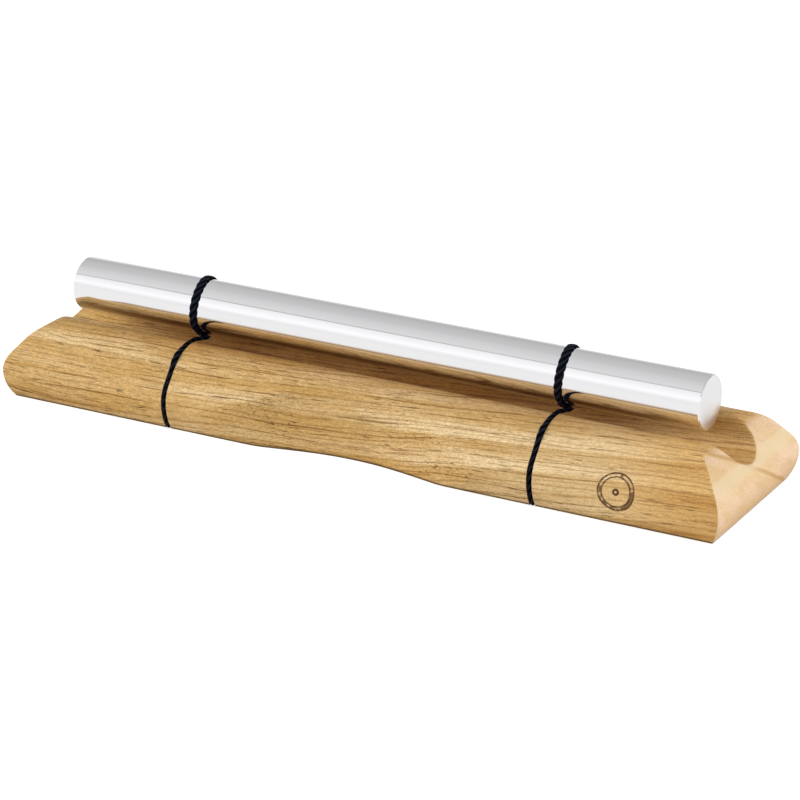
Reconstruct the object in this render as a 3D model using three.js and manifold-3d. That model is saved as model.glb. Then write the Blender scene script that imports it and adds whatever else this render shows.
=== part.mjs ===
// Table chime bar: a metal rod slung on two cords over a hollowed hardwood block.
// Millimetres. X runs along the bar, Y towards the back, Z up, and the origin is the middle
// of the block's underside, where it rests on the table.
import * as THREE from "three";
import { mergeVertices } from "three/addons/utils/BufferGeometryUtils.js";
import Module from "manifold-3d";

const wasm = await Module();
wasm.setup();

// Wooden block, overall
const BASE_LENGTH = 232.8;
const BASE_WIDTH = 56.4;
const BASE_HEIGHT = 22.7;

// Outline of its sides and ends: undercut, belly, leaning flank, round shoulder
const BELLY_HEIGHT = 8.4; // where the block is widest
const UNDERCUT_RADIUS = 14.5; // below the widest line
const BELLY_RADIUS = 8.7; // above the widest line
const FLANK_LENGTH = 5; // straight, from the belly up to the shoulder
const CREST_SPREAD = 25.4; // from one ridge crest to the other

// Trough that the bar hangs over, and the hand grip cut into both long sides
const TROUGH_RADIUS = 9.7;
const TROUGH_FLOOR = 14.4; // wood left under the trough
const GRIP_DEPTH = 7.1;
const GRIP_LENGTH = 92;
const GRIP_FLATNESS = 1.35; // 1 gives a plain wave, more gives it a flatter middle

// Bar
const BAR_LENGTH = 204;
const BAR_DIAMETER = 16;
const BAR_CHAMFER = 0.5;
const BAR_AXIS_HEIGHT = 30.8;
const BAR_FORWARD = 2.6; // the bar hangs this far in front of the trough's middle

// Cords: one on each side, round the block in a saw kerf and once round the bar
const CORD_SPREAD = 119; // from one kerf to the other
const CORD_DIAMETER = 2.2;
const CORD_ON_BAR_THICKNESS = 1.2; // pressed flat against the bar
const KERF_WIDTH = 1.6;
const KERF_DEPTH = 2.6;
const KERF_CREST_DEPTH = 1.6; // shallower where the cord leaves over the ridge
const LOOP_BACKSET = 2.2; // the turn starts this far to the left of its kerf
const LOOP_GAP = 0.6; // between the turn's two ends, side by side under the bar
const LOOP_SWAY = 0.9; // how far the turn's top wanders to the right of a plain helix

// Knot of each cord, in a pocket drilled in the underside
const KNOT_DIAMETER = 6;
const KNOT_HEIGHT = 4.2;
const KNOT_DROP = 0.4; // from the underside up to the knot
const POCKET_CLEARANCE = 0.6;

// Clearances
const CORD_CLEARANCE = 0.15; // cord to the wood or the metal it lies on
const PIECE_GAP = 0.4; // between two lengths of one cord
const OVERRUN = 2; // how far a cutter runs past what it cuts

// Fineness of the curves
const ARC_STEPS = 6;
const TROUGH_STEPS = 14;
const GRIP_STEPS = 28;
const BAR_SIDES = 48;
const LOOP_STEPS = 24;
const LOOP_SIDES = 6;
const SPAN_SIDES = 8;
const SPAN_STEPS = 8;
const POCKET_SIDES = 20;
const KNOT_SIDES = 14;
const KNOT_RINGS = 8;

const barRadius = BAR_DIAMETER / 2;
const troughAxisHeight = TROUGH_FLOOR + TROUGH_RADIUS;

// The flank leans so that the belly, the straight flank and the shoulder are tangent to each
// other, and the shoulder ends level on the crest.
const bellyToCrest = BASE_WIDTH / 2 - BELLY_RADIUS - CREST_SPREAD / 2;
const bellyToTop = BASE_HEIGHT - BELLY_HEIGHT - BELLY_RADIUS;
const flankLean = Math.PI / 2 - 2 * Math.atan(bellyToTop / (bellyToCrest + FLANK_LENGTH));
const faceShoulderRadius =
  BELLY_RADIUS + (bellyToCrest - FLANK_LENGTH * Math.sin(flankLean)) / Math.cos(flankLean);

const wood = new THREE.MeshStandardMaterial({ color: 0xc79a5b, roughness: 0.55, metalness: 0 });
const metal = new THREE.MeshStandardMaterial({ color: 0xd9dade, roughness: 0.16, metalness: 1 });
const cord = new THREE.MeshStandardMaterial({ color: 0x14151c, roughness: 0.8, metalness: 0 });

// A closed three.js geometry as a solid that can be cut and joined.
function solidOf(geometry) {
  const plain = geometry.clone();
  plain.deleteAttribute("normal");
  plain.deleteAttribute("uv");
  const merged = mergeVertices(plain);
  return new wasm.Manifold(
    new wasm.Mesh({
      numProp: 3,
      vertProperties: merged.attributes.position.array,
      triVerts: new Uint32Array(merged.index.array),
    }),
  );
}

// The other way round: a solid as a three.js geometry.
function geometryOf(solid) {
  const mesh = solid.getMesh();
  const positions = new Float32Array(mesh.numVert * 3);
  for (let i = 0; i < mesh.numVert; i++) {
    positions.set(mesh.vertProperties.subarray(i * mesh.numProp, i * mesh.numProp + 3), i * 3);
  }
  const geometry = new THREE.BufferGeometry();
  geometry.setAttribute("position", new THREE.BufferAttribute(positions, 3));
  geometry.setIndex(new THREE.BufferAttribute(mesh.triVerts, 1));
  geometry.computeVertexNormals();
  return geometry;
}

const alongX = new THREE.Matrix4().makeBasis(
  new THREE.Vector3(0, 1, 0),
  new THREE.Vector3(0, 0, 1),
  new THREE.Vector3(1, 0, 0),
);
const alongY = new THREE.Matrix4().makeBasis(
  new THREE.Vector3(-1, 0, 0),
  new THREE.Vector3(0, 0, 1),
  new THREE.Vector3(0, 1, 0),
);
const alongZ = new THREE.Matrix4();

// An outline drawn across an axis, extruded along it from one place to the other.
function prism(outline, turn, from, to) {
  const shape = new THREE.Shape(outline.map(([u, v]) => new THREE.Vector2(u, v)));
  const geometry = new THREE.ExtrudeGeometry(shape, { depth: to - from, bevelEnabled: false });
  return geometry.translate(0, 0, from).applyMatrix4(turn);
}

function arc(centreU, centreV, radius, fromAngle, toAngle, steps) {
  return Array.from({ length: steps + 1 }, (_, i) => {
    const angle = fromAngle + ((toAngle - fromAngle) * i) / steps;
    return [centreU + radius * Math.cos(angle), centreV + radius * Math.sin(angle)];
  });
}

const mirrored = (points) => points.map(([u, v]) => [-u, v]).reverse();
const lastOf = (points) => points[points.length - 1];

// One side of the block's outline, sunk by a depth below its face: from the underside out
// round the belly, up the flank and over the shoulder to the crest. The crest can be sunk
// by another depth.
function sideOutline(halfWidth, sink, crestSink) {
  const undercutRadius = UNDERCUT_RADIUS - sink;
  const bellyRadius = BELLY_RADIUS - sink;
  const shoulderRadius = faceShoulderRadius - sink;
  const reach = halfWidth - sink;
  const startAngle = -Math.asin((BELLY_HEIGHT - sink) / undercutRadius);
  const shoulderHeight = BASE_HEIGHT - crestSink - shoulderRadius;
  const shoulderRise = shoulderHeight - BELLY_HEIGHT;
  const shoulderCentre =
    reach -
    bellyRadius -
    (shoulderRadius - bellyRadius + Math.sin(flankLean) * shoulderRise) / Math.cos(flankLean);
  return [
    ...arc(reach - undercutRadius, BELLY_HEIGHT, undercutRadius, startAngle, 0, ARC_STEPS),
    ...arc(reach - bellyRadius, BELLY_HEIGHT, bellyRadius, 0, flankLean, ARC_STEPS).slice(1),
    ...arc(shoulderCentre, shoulderHeight, shoulderRadius, flankLean, Math.PI / 2, ARC_STEPS),
  ];
}

// Half of the trough, from the crest down to its floor: an arc that eases the crest's
// inner edge, and the round trough itself, tangent to each other.
function troughOutline() {
  const crest = CREST_SPREAD / 2;
  const rise = BASE_HEIGHT - troughAxisHeight;
  const easeRadius =
    (crest ** 2 - TROUGH_RADIUS ** 2 + rise ** 2) / (2 * (TROUGH_RADIUS + rise));
  const easeHeight = BASE_HEIGHT - easeRadius;
  const wallAngle = Math.atan2(easeHeight - troughAxisHeight, crest);
  const ease = arc(crest, easeHeight, easeRadius, Math.PI / 2, Math.PI + wallAngle, ARC_STEPS);
  const round = arc(0, troughAxisHeight, TROUGH_RADIUS, wallAngle, -Math.PI / 2, TROUGH_STEPS);
  return [...ease.slice(1), ...round.slice(1)];
}

// The grip's plan line: how far from the middle the wood still reaches at a place along it.
function gripLine(x) {
  const along = Math.pow(Math.abs((2 * x) / GRIP_LENGTH), GRIP_FLATNESS);
  const share = (1 + Math.cos(Math.PI * along)) / 2;
  return BASE_WIDTH / 2 - GRIP_DEPTH * share;
}

// Floor of a kerf, and the cord in it where it crosses the crest.
const kerfFloor = sideOutline(BASE_WIDTH / 2, KERF_DEPTH, KERF_CREST_DEPTH);
const kerfCrestSpread = lastOf(kerfFloor)[0];
const kerfCordHeight = BASE_HEIGHT - KERF_CREST_DEPTH + CORD_CLEARANCE + CORD_DIAMETER / 2;

// Everything that lies above the floor of a kerf, as a slab across the block.
function kerfCut(x) {
  const beyond = BASE_WIDTH / 2 + OVERRUN;
  const top = BASE_HEIGHT + OVERRUN;
  const slab = [
    [-beyond, -OVERRUN],
    [beyond, -OVERRUN],
    [beyond, top],
    [-beyond, top],
  ];
  const from = x - KERF_WIDTH / 2;
  const to = x + KERF_WIDTH / 2;
  const rim = [...kerfFloor, ...mirrored(kerfFloor)];
  const core = prism(rim, alongX, from - OVERRUN, to + OVERRUN);
  return solidOf(prism(slab, alongX, from, to)).subtract(solidOf(core));
}

function knotPocket(x) {
  const radius = KNOT_DIAMETER / 2 + POCKET_CLEARANCE;
  const depth = KNOT_DROP + KNOT_HEIGHT + POCKET_CLEARANCE;
  const geometry = new THREE.CylinderGeometry(radius, radius, depth + OVERRUN, POCKET_SIDES);
  geometry.rotateX(Math.PI / 2).translate(x, 0, (depth - OVERRUN) / 2);
  return solidOf(geometry);
}

function baseBlock() {
  const half = [...sideOutline(BASE_WIDTH / 2, 0, 0), ...troughOutline()];
  const section = [...half, ...mirrored(half.slice(0, -1))];
  const endSide = sideOutline(BASE_LENGTH / 2, 0, 0);
  const ends = [...endSide, ...mirrored(endSide)];
  const halfLength = BASE_LENGTH / 2 + OVERRUN;
  const reach = BASE_WIDTH / 2 + OVERRUN;
  let block = solidOf(prism(section, alongX, -halfLength, halfLength));
  block = block.intersect(solidOf(prism(ends, alongY, -reach, reach)));

  const line = Array.from({ length: GRIP_STEPS + 1 }, (_, i) => {
    const x = GRIP_LENGTH * (i / GRIP_STEPS - 1 / 2);
    return [x, gripLine(x)];
  });
  const behind = [...line, [GRIP_LENGTH / 2, reach], [-GRIP_LENGTH / 2, reach]].reverse();
  const inFront = behind.map(([x, y]) => [x, -y]).reverse();
  for (const plan of [behind, inFront]) {
    block = block.subtract(solidOf(prism(plan, alongZ, -OVERRUN, BASE_HEIGHT + OVERRUN)));
  }
  for (const x of [-CORD_SPREAD / 2, CORD_SPREAD / 2]) {
    block = block.subtract(kerfCut(x)).subtract(knotPocket(x));
  }
  return geometryOf(block);
}

function chimeBar() {
  const end = BAR_LENGTH / 2;
  const profile = [
    [0, -end],
    [barRadius - BAR_CHAMFER, -end],
    [barRadius, BAR_CHAMFER - end],
    [barRadius, end - BAR_CHAMFER],
    [barRadius - BAR_CHAMFER, end],
    [0, end],
  ].map(([r, x]) => new THREE.Vector2(r, x));
  return new THREE.LatheGeometry(profile, BAR_SIDES).rotateZ(-Math.PI / 2);
}

// The cord in its kerf, from the ridge's crest to the knot.
function kerfRun(x, side) {
  const outerSink = KERF_DEPTH - CORD_CLEARANCE - CORD_DIAMETER;
  const crestOuterSink = KERF_CREST_DEPTH - CORD_CLEARANCE - CORD_DIAMETER;
  const outer = sideOutline(BASE_WIDTH / 2, outerSink, crestOuterSink);
  const inner = sideOutline(
    BASE_WIDTH / 2,
    KERF_DEPTH - CORD_CLEARANCE,
    KERF_CREST_DEPTH - CORD_CLEARANCE,
  );
  const knotSide = KNOT_DIAMETER / 2 + PIECE_GAP;
  const ribbon = [
    [knotSide, outerSink],
    ...outer,
    ...inner.reverse(),
    [knotSide, KERF_DEPTH - CORD_CLEARANCE],
  ];
  const halfWidth = KERF_WIDTH / 2 - CORD_CLEARANCE;
  const outline = side > 0 ? ribbon : mirrored(ribbon);
  return prism(outline, alongX, x - halfWidth, x + halfWidth);
}

function knot(x) {
  const geometry = new THREE.SphereGeometry(1, KNOT_SIDES, KNOT_RINGS);
  geometry.rotateX(Math.PI / 2).scale(KNOT_DIAMETER / 2, KNOT_DIAMETER / 2, KNOT_HEIGHT / 2);
  return geometry.translate(x, 0, KNOT_DROP + KNOT_HEIGHT / 2);
}

const loopRadius = barRadius + CORD_CLEARANCE + CORD_ON_BAR_THICKNESS / 2;
const loopPitch = CORD_DIAMETER + LOOP_GAP;

// A point of the turn round the bar: it starts under the bar, climbs behind it, crosses
// over the top and comes down in front. Y and Z are measured from the bar's axis.
function loopPoint(share, kerfPlace) {
  const angle = 2 * Math.PI * share;
  const sway = (LOOP_SWAY * (1 - Math.cos(angle))) / 2;
  return new THREE.Vector3(
    kerfPlace - LOOP_BACKSET + loopPitch * share + sway,
    loopRadius * Math.sin(angle),
    -loopRadius * Math.cos(angle),
  );
}

// Centre line of the turn, with a straight lead one cord wide at each end.
function loopCentres(kerfPlace) {
  const turn = Array.from({ length: LOOP_STEPS + 1 }, (_, i) =>
    loopPoint(i / LOOP_STEPS, kerfPlace),
  );
  const slope = loopPitch / (2 * Math.PI * loopRadius);
  const lead = new THREE.Vector3(slope, 1, 0).setLength(CORD_DIAMETER);
  return [turn[0].clone().sub(lead), ...turn, turn[LOOP_STEPS].clone().add(lead)];
}

// One unbroken tube through oval rings. Each ring has a centre, the direction away from
// what it lies on, and half its thickness and half its width across that direction.
function tube(rings, sides) {
  const positions = [];
  const index = [];
  const last = rings.length - 1;
  rings.forEach(({ centre, outward, halfThickness, halfWidth }, i) => {
    const ahead = rings[Math.min(i + 1, last)].centre.clone().sub(rings[Math.max(i - 1, 0)].centre);
    const across = new THREE.Vector3().crossVectors(ahead, outward).normalize();
    for (let k = 0; k < sides; k++) {
      const turn = (2 * Math.PI * k) / sides;
      const point = centre
        .clone()
        .addScaledVector(across, halfWidth * Math.cos(turn))
        .addScaledVector(outward, halfThickness * Math.sin(turn));
      positions.push(...point.toArray());
    }
  });
  for (let i = 0; i < last; i++) {
    for (let k = 0; k < sides; k++) {
      const a = i * sides + k;
      const b = i * sides + ((k + 1) % sides);
      index.push(a, a + sides, b, b, a + sides, b + sides);
    }
  }
  for (let k = 1; k < sides - 1; k++) {
    const far = last * sides;
    index.push(0, k, k + 1, far, far + k + 1, far + k);
  }
  const geometry = new THREE.BufferGeometry();
  geometry.setAttribute("position", new THREE.Float32BufferAttribute(positions, 3));
  geometry.setIndex(index);
  geometry.computeVertexNormals();
  return geometry;
}

// The turn round the bar, flattened towards it.
function loopTube(centres) {
  const rings = centres.map((centre, i) => {
    const angle = 2 * Math.PI * THREE.MathUtils.clamp((i - 1) / LOOP_STEPS, 0, 1);
    return {
      centre,
      outward: new THREE.Vector3(0, Math.sin(angle), -Math.cos(angle)),
      halfThickness: CORD_ON_BAR_THICKNESS / 2,
      halfWidth: CORD_DIAMETER / 2,
    };
  });
  return tube(rings, LOOP_SIDES);
}

// Least gap of the turn to itself, between centre points over half a turn apart.
function leastLoopGap(centres) {
  let least = Infinity;
  centres.forEach((a, i) => {
    centres.slice(i + LOOP_STEPS / 2).forEach((b) => {
      least = Math.min(least, a.distanceTo(b) - CORD_DIAMETER);
    });
  });
  return least;
}

// The free length of cord between the crest and the turn under the bar. In the kerf it is
// squeezed narrow, and it widens and flattens on its way to the bar.
function span(crestPoint, mouthPoint, leadPoint, barPoint) {
  const curve = new THREE.CatmullRomCurve3([crestPoint, mouthPoint, leadPoint, barPoint]);
  const rings = curve.getSpacedPoints(SPAN_STEPS).map((centre) => {
    const along = (mouthPoint.y - centre.y) / (mouthPoint.y - barPoint.y);
    const share = THREE.MathUtils.smoothstep(along, 0, 1);
    return {
      centre,
      outward: new THREE.Vector3(0, 0, -1),
      halfThickness: THREE.MathUtils.lerp(CORD_DIAMETER, CORD_ON_BAR_THICKNESS, share) / 2,
      halfWidth: THREE.MathUtils.lerp(KERF_WIDTH / 2 - CORD_CLEARANCE, CORD_DIAMETER / 2, share),
    };
  });
  return tube(rings, SPAN_SIDES);
}

const part = new THREE.Group();

function addPiece(parent, name, geometry, material) {
  const mesh = new THREE.Mesh(geometry, material);
  mesh.name = name;
  parent.add(mesh);
}

const barPlace = new THREE.Group();
barPlace.position.set(0, -BAR_FORWARD, BAR_AXIS_HEIGHT);
part.add(barPlace);

addPiece(part, "base_block", baseBlock(), wood);
addPiece(barPlace, "chime_bar", chimeBar(), metal);

for (const [side, x] of [
  ["left", -CORD_SPREAD / 2],
  ["right", CORD_SPREAD / 2],
]) {
  addPiece(part, side + "_cord_front_run", kerfRun(x, -1), cord);
  addPiece(part, side + "_cord_rear_run", kerfRun(x, 1), cord);
  addPiece(part, side + "_cord_knot", knot(x), cord);

  const centres = loopCentres(x);
  addPiece(barPlace, side + "_cord_loop", loopTube(centres), cord);
  console.log(side + " loop, least gap to itself: " + leastLoopGap(centres).toFixed(2) + " mm");

  // The spans go on from the cord in the kerf and meet the turn end to end.
  const lead = centres[1].clone().sub(centres[0]).normalize();
  for (const [place, sign, turnEnd] of [
    ["front", -1, centres[0]],
    ["rear", 1, lastOf(centres)],
  ]) {
    const crest = new THREE.Vector3(x, sign * (kerfCrestSpread - PIECE_GAP), kerfCordHeight);
    const mouth = new THREE.Vector3(x, sign * TROUGH_RADIUS, kerfCordHeight);
    const barEnd = turnEnd.clone().add(barPlace.position).addScaledVector(lead, sign * PIECE_GAP);
    const leadEnd = barEnd.clone().addScaledVector(lead, sign * CORD_DIAMETER);
    addPiece(part, side + "_cord_" + place + "_span", span(crest, mouth, leadEnd, barEnd), cord);
  }
}

export default part;
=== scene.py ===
"""Looks of the table chime bar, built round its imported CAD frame.

Laid out as a Blender add-on: property groups hold the sizes and colours, one operator makes
each piece or group of like pieces, and a panel lists them. Run as a script, it makes all of
them in order. Shapes are worked out in millimetres and written to meshes in metres.
"""

import math
from functools import partial

import bpy
import numpy as np
from mathutils import Matrix, Vector


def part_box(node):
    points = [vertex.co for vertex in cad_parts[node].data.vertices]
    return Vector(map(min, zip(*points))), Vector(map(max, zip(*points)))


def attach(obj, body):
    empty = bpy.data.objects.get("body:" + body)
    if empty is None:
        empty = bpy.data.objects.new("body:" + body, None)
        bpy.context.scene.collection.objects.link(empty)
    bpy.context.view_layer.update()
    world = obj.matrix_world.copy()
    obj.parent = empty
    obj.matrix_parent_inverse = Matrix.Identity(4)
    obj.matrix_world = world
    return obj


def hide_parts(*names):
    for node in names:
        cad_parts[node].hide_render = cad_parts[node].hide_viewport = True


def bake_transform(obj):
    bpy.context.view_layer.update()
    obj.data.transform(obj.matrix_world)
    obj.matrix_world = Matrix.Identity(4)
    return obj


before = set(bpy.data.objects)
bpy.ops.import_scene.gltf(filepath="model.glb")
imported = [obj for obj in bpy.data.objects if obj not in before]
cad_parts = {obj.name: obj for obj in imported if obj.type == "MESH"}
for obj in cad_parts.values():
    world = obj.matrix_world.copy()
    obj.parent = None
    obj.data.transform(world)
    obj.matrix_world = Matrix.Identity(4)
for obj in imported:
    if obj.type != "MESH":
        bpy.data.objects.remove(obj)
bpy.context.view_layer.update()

bl_info = {
    "name": "Table Chime Bar",
    "version": (1, 0, 0),
    "blender": (4, 5, 0),
    "location": "View3D > Sidebar > Chime Bar",
    "description": "Dresses the packed chime bar: wooden block, metal rod, cords and studio",
    "category": "Object",
}

MM = 0.001

# The skin's UV map: units for one millimetre along the block and up its flank
UV_PER_MM = 0.01

# Kinds of node that are used often, and two of their settings
MATH = "ShaderNodeMath"
VECTOR = "ShaderNodeVectorMath"
SPLIT = "ShaderNodeSeparateXYZ"
NOISE = "ShaderNodeTexNoise"
RANGE = "ShaderNodeMapRange"
MIX = "ShaderNodeMix"
PLACE = "ShaderNodeTexCoord"
BUMP = "ShaderNodeBump"
SURFACE = "ShaderNodeBsdfPrincipled"
OUTPUT = "ShaderNodeOutputMaterial"
READ = "ShaderNodeAttribute"
SMOOTH = {"interpolation_type": "SMOOTHSTEP"}
COLOURS = {"data_type": "RGBA"}


# Small tools


def linear(hex_colour):
    """An sRGB hex colour such as "c89a5c" as linear red, green, blue."""
    channels = [int(hex_colour[i : i + 2], 16) / 255 for i in (0, 2, 4)]
    return [c / 12.92 if c <= 0.04045 else ((c + 0.055) / 1.055) ** 2.4 for c in channels]


def node_box(name):
    """Lowest and highest corner of a CAD node, in millimetres."""
    return [np.array(corner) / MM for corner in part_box(name)]


def add_node(tree, kind, *values, **settings):
    """Adds a node with its settings. The values go to its live inputs in order, or by name
    from a dict. A value is plain, another node's output, or a node for its first live one."""
    node = tree.nodes.new(kind)
    for name, value in settings.items():
        setattr(node, name, value)
    if values and isinstance(values[0], dict):
        pairs = [(node.inputs[name], value) for name, value in values[0].items()]
    else:
        pairs = zip([socket for socket in node.inputs if socket.enabled], values)
    for socket, value in pairs:
        if isinstance(value, bpy.types.Node):
            value = next(output for output in value.outputs if output.enabled)
        if isinstance(value, bpy.types.NodeSocket):
            tree.links.new(value, socket)
        else:
            socket.default_value = value
    return node


def new_material(name):
    """A material with an empty tree, and add_node for that tree."""
    material = bpy.data.materials.new(name)
    material.use_nodes = True
    material.node_tree.nodes.clear()
    return material, partial(add_node, material.node_tree)


def mesh_object(name, points, faces, uvs=None):
    """A mesh object from points in millimetres. uvs gives one UV per point of a face."""
    mesh = bpy.data.meshes.new(name)
    mesh.from_pydata((np.asarray(points) * MM).tolist(), [], faces)
    if uvs is not None:
        layer = mesh.uv_layers.new(name="skin")
        layer.data.foreach_set("uv", np.asarray(uvs, np.float32).ravel())
    mesh.update()
    thing = bpy.data.objects.new(name, mesh)
    bpy.context.scene.collection.objects.link(thing)
    return thing


def applied(thing):
    """Turns the object with its modifiers into a plain mesh."""
    graph = bpy.context.evaluated_depsgraph_get()
    mesh = bpy.data.meshes.new_from_object(thing.evaluated_get(graph))
    thing.modifiers.clear()
    thing.data = mesh
    return thing


def shade_smooth(thing, sharp_degrees):
    """Smooth shading, with edges sharper than the angle kept crisp."""
    mesh = thing.data
    mesh.shade_smooth()
    mesh.set_sharp_from_angle(angle=math.radians(sharp_degrees))


def soft_lower(a, b, ease):
    """The lower of two heights, with the corner between them eased."""
    return (a + b - np.sqrt((a - b) ** 2 + ease**2)) / 2


def smooth_share(value, start, end):
    """0 before start, 1 after end, and smooth between them."""
    share = np.clip((value - start) / (end - start), 0, 1)
    return share * share * (3 - 2 * share)


def way_along(points):
    """How far along a line each of its points lies."""
    steps = np.linalg.norm(np.diff(points, axis=0), axis=1)
    return np.concatenate([[0], np.cumsum(steps)])


def sizes_in_mm(settings):
    """The sizes among the settings by name, in millimetres."""
    values = {name: getattr(settings, name) for name in settings.__annotations__}
    return {name: value / MM for name, value in values.items() if isinstance(value, float)}


# Settings


def length(name, description, default, high=1.0):
    """A size given in millimetres and kept in metres."""
    return number(name, description, default * MM, 0.0, high, unit="LENGTH", precision=5)


def number(name, description, default, low, high, **extra):
    """A number with its lowest and highest value."""
    limits = {"default": default, "min": low, "max": high}
    return bpy.props.FloatProperty(name=name, description=description, **limits, **extra)


def colour(name, description, hex_colour):
    """A colour given as sRGB hex."""
    limits = {"default": linear(hex_colour), "min": 0.0, "max": 1.0, "subtype": "COLOR"}
    return bpy.props.FloatVectorProperty(name=name, description=description, **limits)


class BlockSettings(bpy.types.PropertyGroup):
    belly_height: length("Belly height", "Where the block is widest", 8.4)
    undercut_radius: length("Undercut radius", "Below the widest line", 14.5)
    belly_radius: length("Belly radius", "Above the widest line", 8.7)
    flank_length: length("Flank length", "Straight, from belly to shoulder", 5.0)
    crest_spread: length("Crest spread", "From one ridge crest to the other", 25.4)
    trough_radius: length("Trough radius", "Round trough under the rod", 9.7)
    trough_floor: length("Trough floor", "Wood left under the trough", 14.4)
    grip_depth: length("Grip depth", "How deep the hand grips go", 7.1)
    grip_crease_length: length("Grip length at its crease", "Where it meets the flank", 82.0)
    grip_foot_length: length("Grip length at its foot", "At the underside", 100.0)
    grip_flatness: number("Grip flatness", "1 is a wave, more flattens the crease", 1.7, 1.0, 4.0)
    edge_ease: length("Eased edges", "Radius of the sanded corners", 0.45)
    foot_ease: length("Eased foot", "Width of the sanded lower edge", 0.25)
    kerf_width: length("Kerf width", "Saw kerf for a cord", 1.6)
    kerf_depth: length("Kerf depth", "On the flanks and underneath", 2.6)
    kerf_crest_depth: length("Kerf depth at the crest", "Where the cord leaves", 1.6)
    kerf_lip: length("Kerf lip", "Sanded lip of the kerf", 0.12)
    pocket_radius: length("Knot pocket radius", "Drilled in the underside", 3.6)
    pocket_depth: length("Knot pocket depth", "Drilled in the underside", 5.2)
    sign_place: length("Sign along the block", "Middle of the ring sign", 85.7)
    sign_height: length("Sign height", "Middle of the ring sign", 10.3)
    sign_radius: length("Sign radius", "Middle of the ring's band", 4.85)
    sign_band: length("Sign band", "Width of the ring's band", 1.35)
    sign_depth: length("Sign depth", "How deep it is burnt in", 0.18)
    light_wood: colour("Light wood", "Pale, a little rosy", "f6d8a4")
    warm_wood: colour("Warm wood", "Broad golden bands", "cb9d50")
    grain_line: colour("Grain line", "Late wood lines", "84561c")
    fine_line: colour("Fine lines", "Between the late wood lines", "a47431")
    figure: colour("Figure", "Golden tongue that the hand grips cut into", "cda35c")
    red_streak: colour("Red streaks", "Short streaks of heartwood", "b0703e")
    pore: colour("Pores", "Cut vessels along the grain", "593612")
    gold_tint: colour("Gold tint", "The riper wood at the right end", "f3e2c2")
    # Painted highlight on the eased rim of the end faces
    worn_edge: colour("Worn edge", "The sanded rim of the end faces", "f6dfb4")
    # Painted shade: the ridge and trough tints darken the wood under the rod, where it blocks the
    # light
    ridge_tint: colour("Ridge tint", "Burnished by the router", "ebdac3")
    trough_tint: colour("Trough tint", "Oil and dust under the rod", "c6b292")
    end_wood: colour("End grain", "Wood cut square to the grain", "eecb98")
    rosy_end: colour("Rosy end grain", "Patches of it", "f8d6b2")
    # Painted shade, laid on the kerf walls and along the lower edge
    kerf_dark: colour("Kerf walls", "Sawn, and rubbed dark by the cord", "3a2414")
    burnt: colour("Burnt mark", "The ring sign", "472409")


class RodSettings(bpy.types.PropertyGroup):
    chamfer: length("Chamfer", "Turned edge at both ends", 0.4)
    metal: colour("Aluminium", "Polished aluminium", "f5f5f6")


class CordSettings(bpy.types.PropertyGroup):
    diameter: length("Cord diameter", "Free of the bar", 2.2)
    on_rod: length("Thickness on the rod", "Pressed flat", 0.85)
    spread_on_rod: length("Width on the rod", "Pressed flat", 2.2)
    on_rod_gap: length("Gap to the rod", "Left under the cord", 0.04)
    in_kerf: length("Thickness in the kerf", "Measured into the block", 2.4)
    kerf_play: length("Play in the kerf", "On each side of the cord", 0.06)
    on_shoulder: length("Width on the shoulder", "Where it stands out of the kerf", 1.7)
    on_crest: length("Width on the crest", "Pulled tight over the ridge", 1.45)
    proud: length("Proud of the shoulder", "Its middle line", 0.3)
    loop_backset: length("Loop backset", "The turn starts to the left of its kerf", 2.55)
    loop_gap: length("Loop gap", "Between the turn's ends under the rod", 0.6)
    loop_sway: length("Loop sway", "How far its top wanders to the right", 0.65)
    clearance: length("Clearance", "Cord to what it lies on", 0.15)
    lay: length("Lay", "One full twist of the strands", 7.5)
    knot_width: length("Knot width", "Under the block", 5.4)
    knot_height: length("Knot height", "Under the block", 2.4)
    strands: bpy.props.IntProperty(
        name="Strands", description="Laid round each other", default=3, min=2, max=6
    )
    dye: colour("Cord", "Black polyester with a blue cast", "020204")
    # Painted highlight on the strands' crowns
    dye_light: colour("Cord highlights", "On the strands' crowns", "2b3448")


class StageSettings(bpy.types.PropertyGroup):
    floor_size: length("Floor size", "Side of the pale floor", 6000.0, high=20.0)
    floor_paint: colour("Floor", "Pale floor", "d8d7d4")
    cove_tone: colour("Floor in the metal", "As the rod mirrors it", "f7f6f6")
    # Painted shade and bounce light beside the block, seen only by the metal
    warm_floor: colour("Warm floor", "Beside the block, as the rod mirrors it", "a9875e")
    soft_light: number("Soft light", "On the matt pieces, from all round", 0.58, 0.0, 4.0)
    key_power: number("Key light", "Softbox in front", 13.0, 0.0, 100.0, subtype="POWER")
    side_power: number("Side light", "Softbox at the right end", 13.0, 0.0, 100.0, subtype="POWER")


# Wooden block

BLOCK_SHARP_DEGREES = 40

# Spacing of the skin's levels, and the angle of the undercut that their number is worked out
# from, so that it stays the same where the skin is sunk
LEVEL_STEP_MM = 0.33
UNDERCUT_ANGLE = 0.62

# The lower levels, where height still tells how far up the skin a place is
FLANK_LEVELS = 60

# Columns of the skin along the block: finer across the grips and finest at the sign
GRIP_FINE_MM = 52
SIGN_FINE_MM = 6.5
MITRE_MARGIN_MM = 4
MITRE_COLUMNS = 8

# Rows across the trough, over each ridge's inner curve, and out to the mitres
TROUGH_ROWS = 16
RIDGE_ROWS = 6
RIDGE_MARGIN_MM = 0.8
MITRE_ROWS = 7

CORNER_STEPS = 6
POCKET_SIDES = 48

# How soft the grip's crease is, and the depths of the grip over which that sets in. The crease
# lies at a share of the block's height
CREASE_EASE_MM = 0.35
CREASE_DEPTHS_MM = (0.1, 1.2)
CREASE_HEIGHT = 0.6

# How soft the trough's edge on the end faces is, and where that fades: so far inside the
# trough's wall and inside the crest
TROUGH_EASE_MM = 0.45
TROUGH_EASE_START_MM = 0.6
TROUGH_EASE_END_MM = 1.0

# Rows of the top that lie this far inside the trough's wall run straight past the kerfs
STRAIGHT_ROWS_MM = 0.4

# Stands for no trough at all
FAR_ABOVE_MM = 99.0

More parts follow.
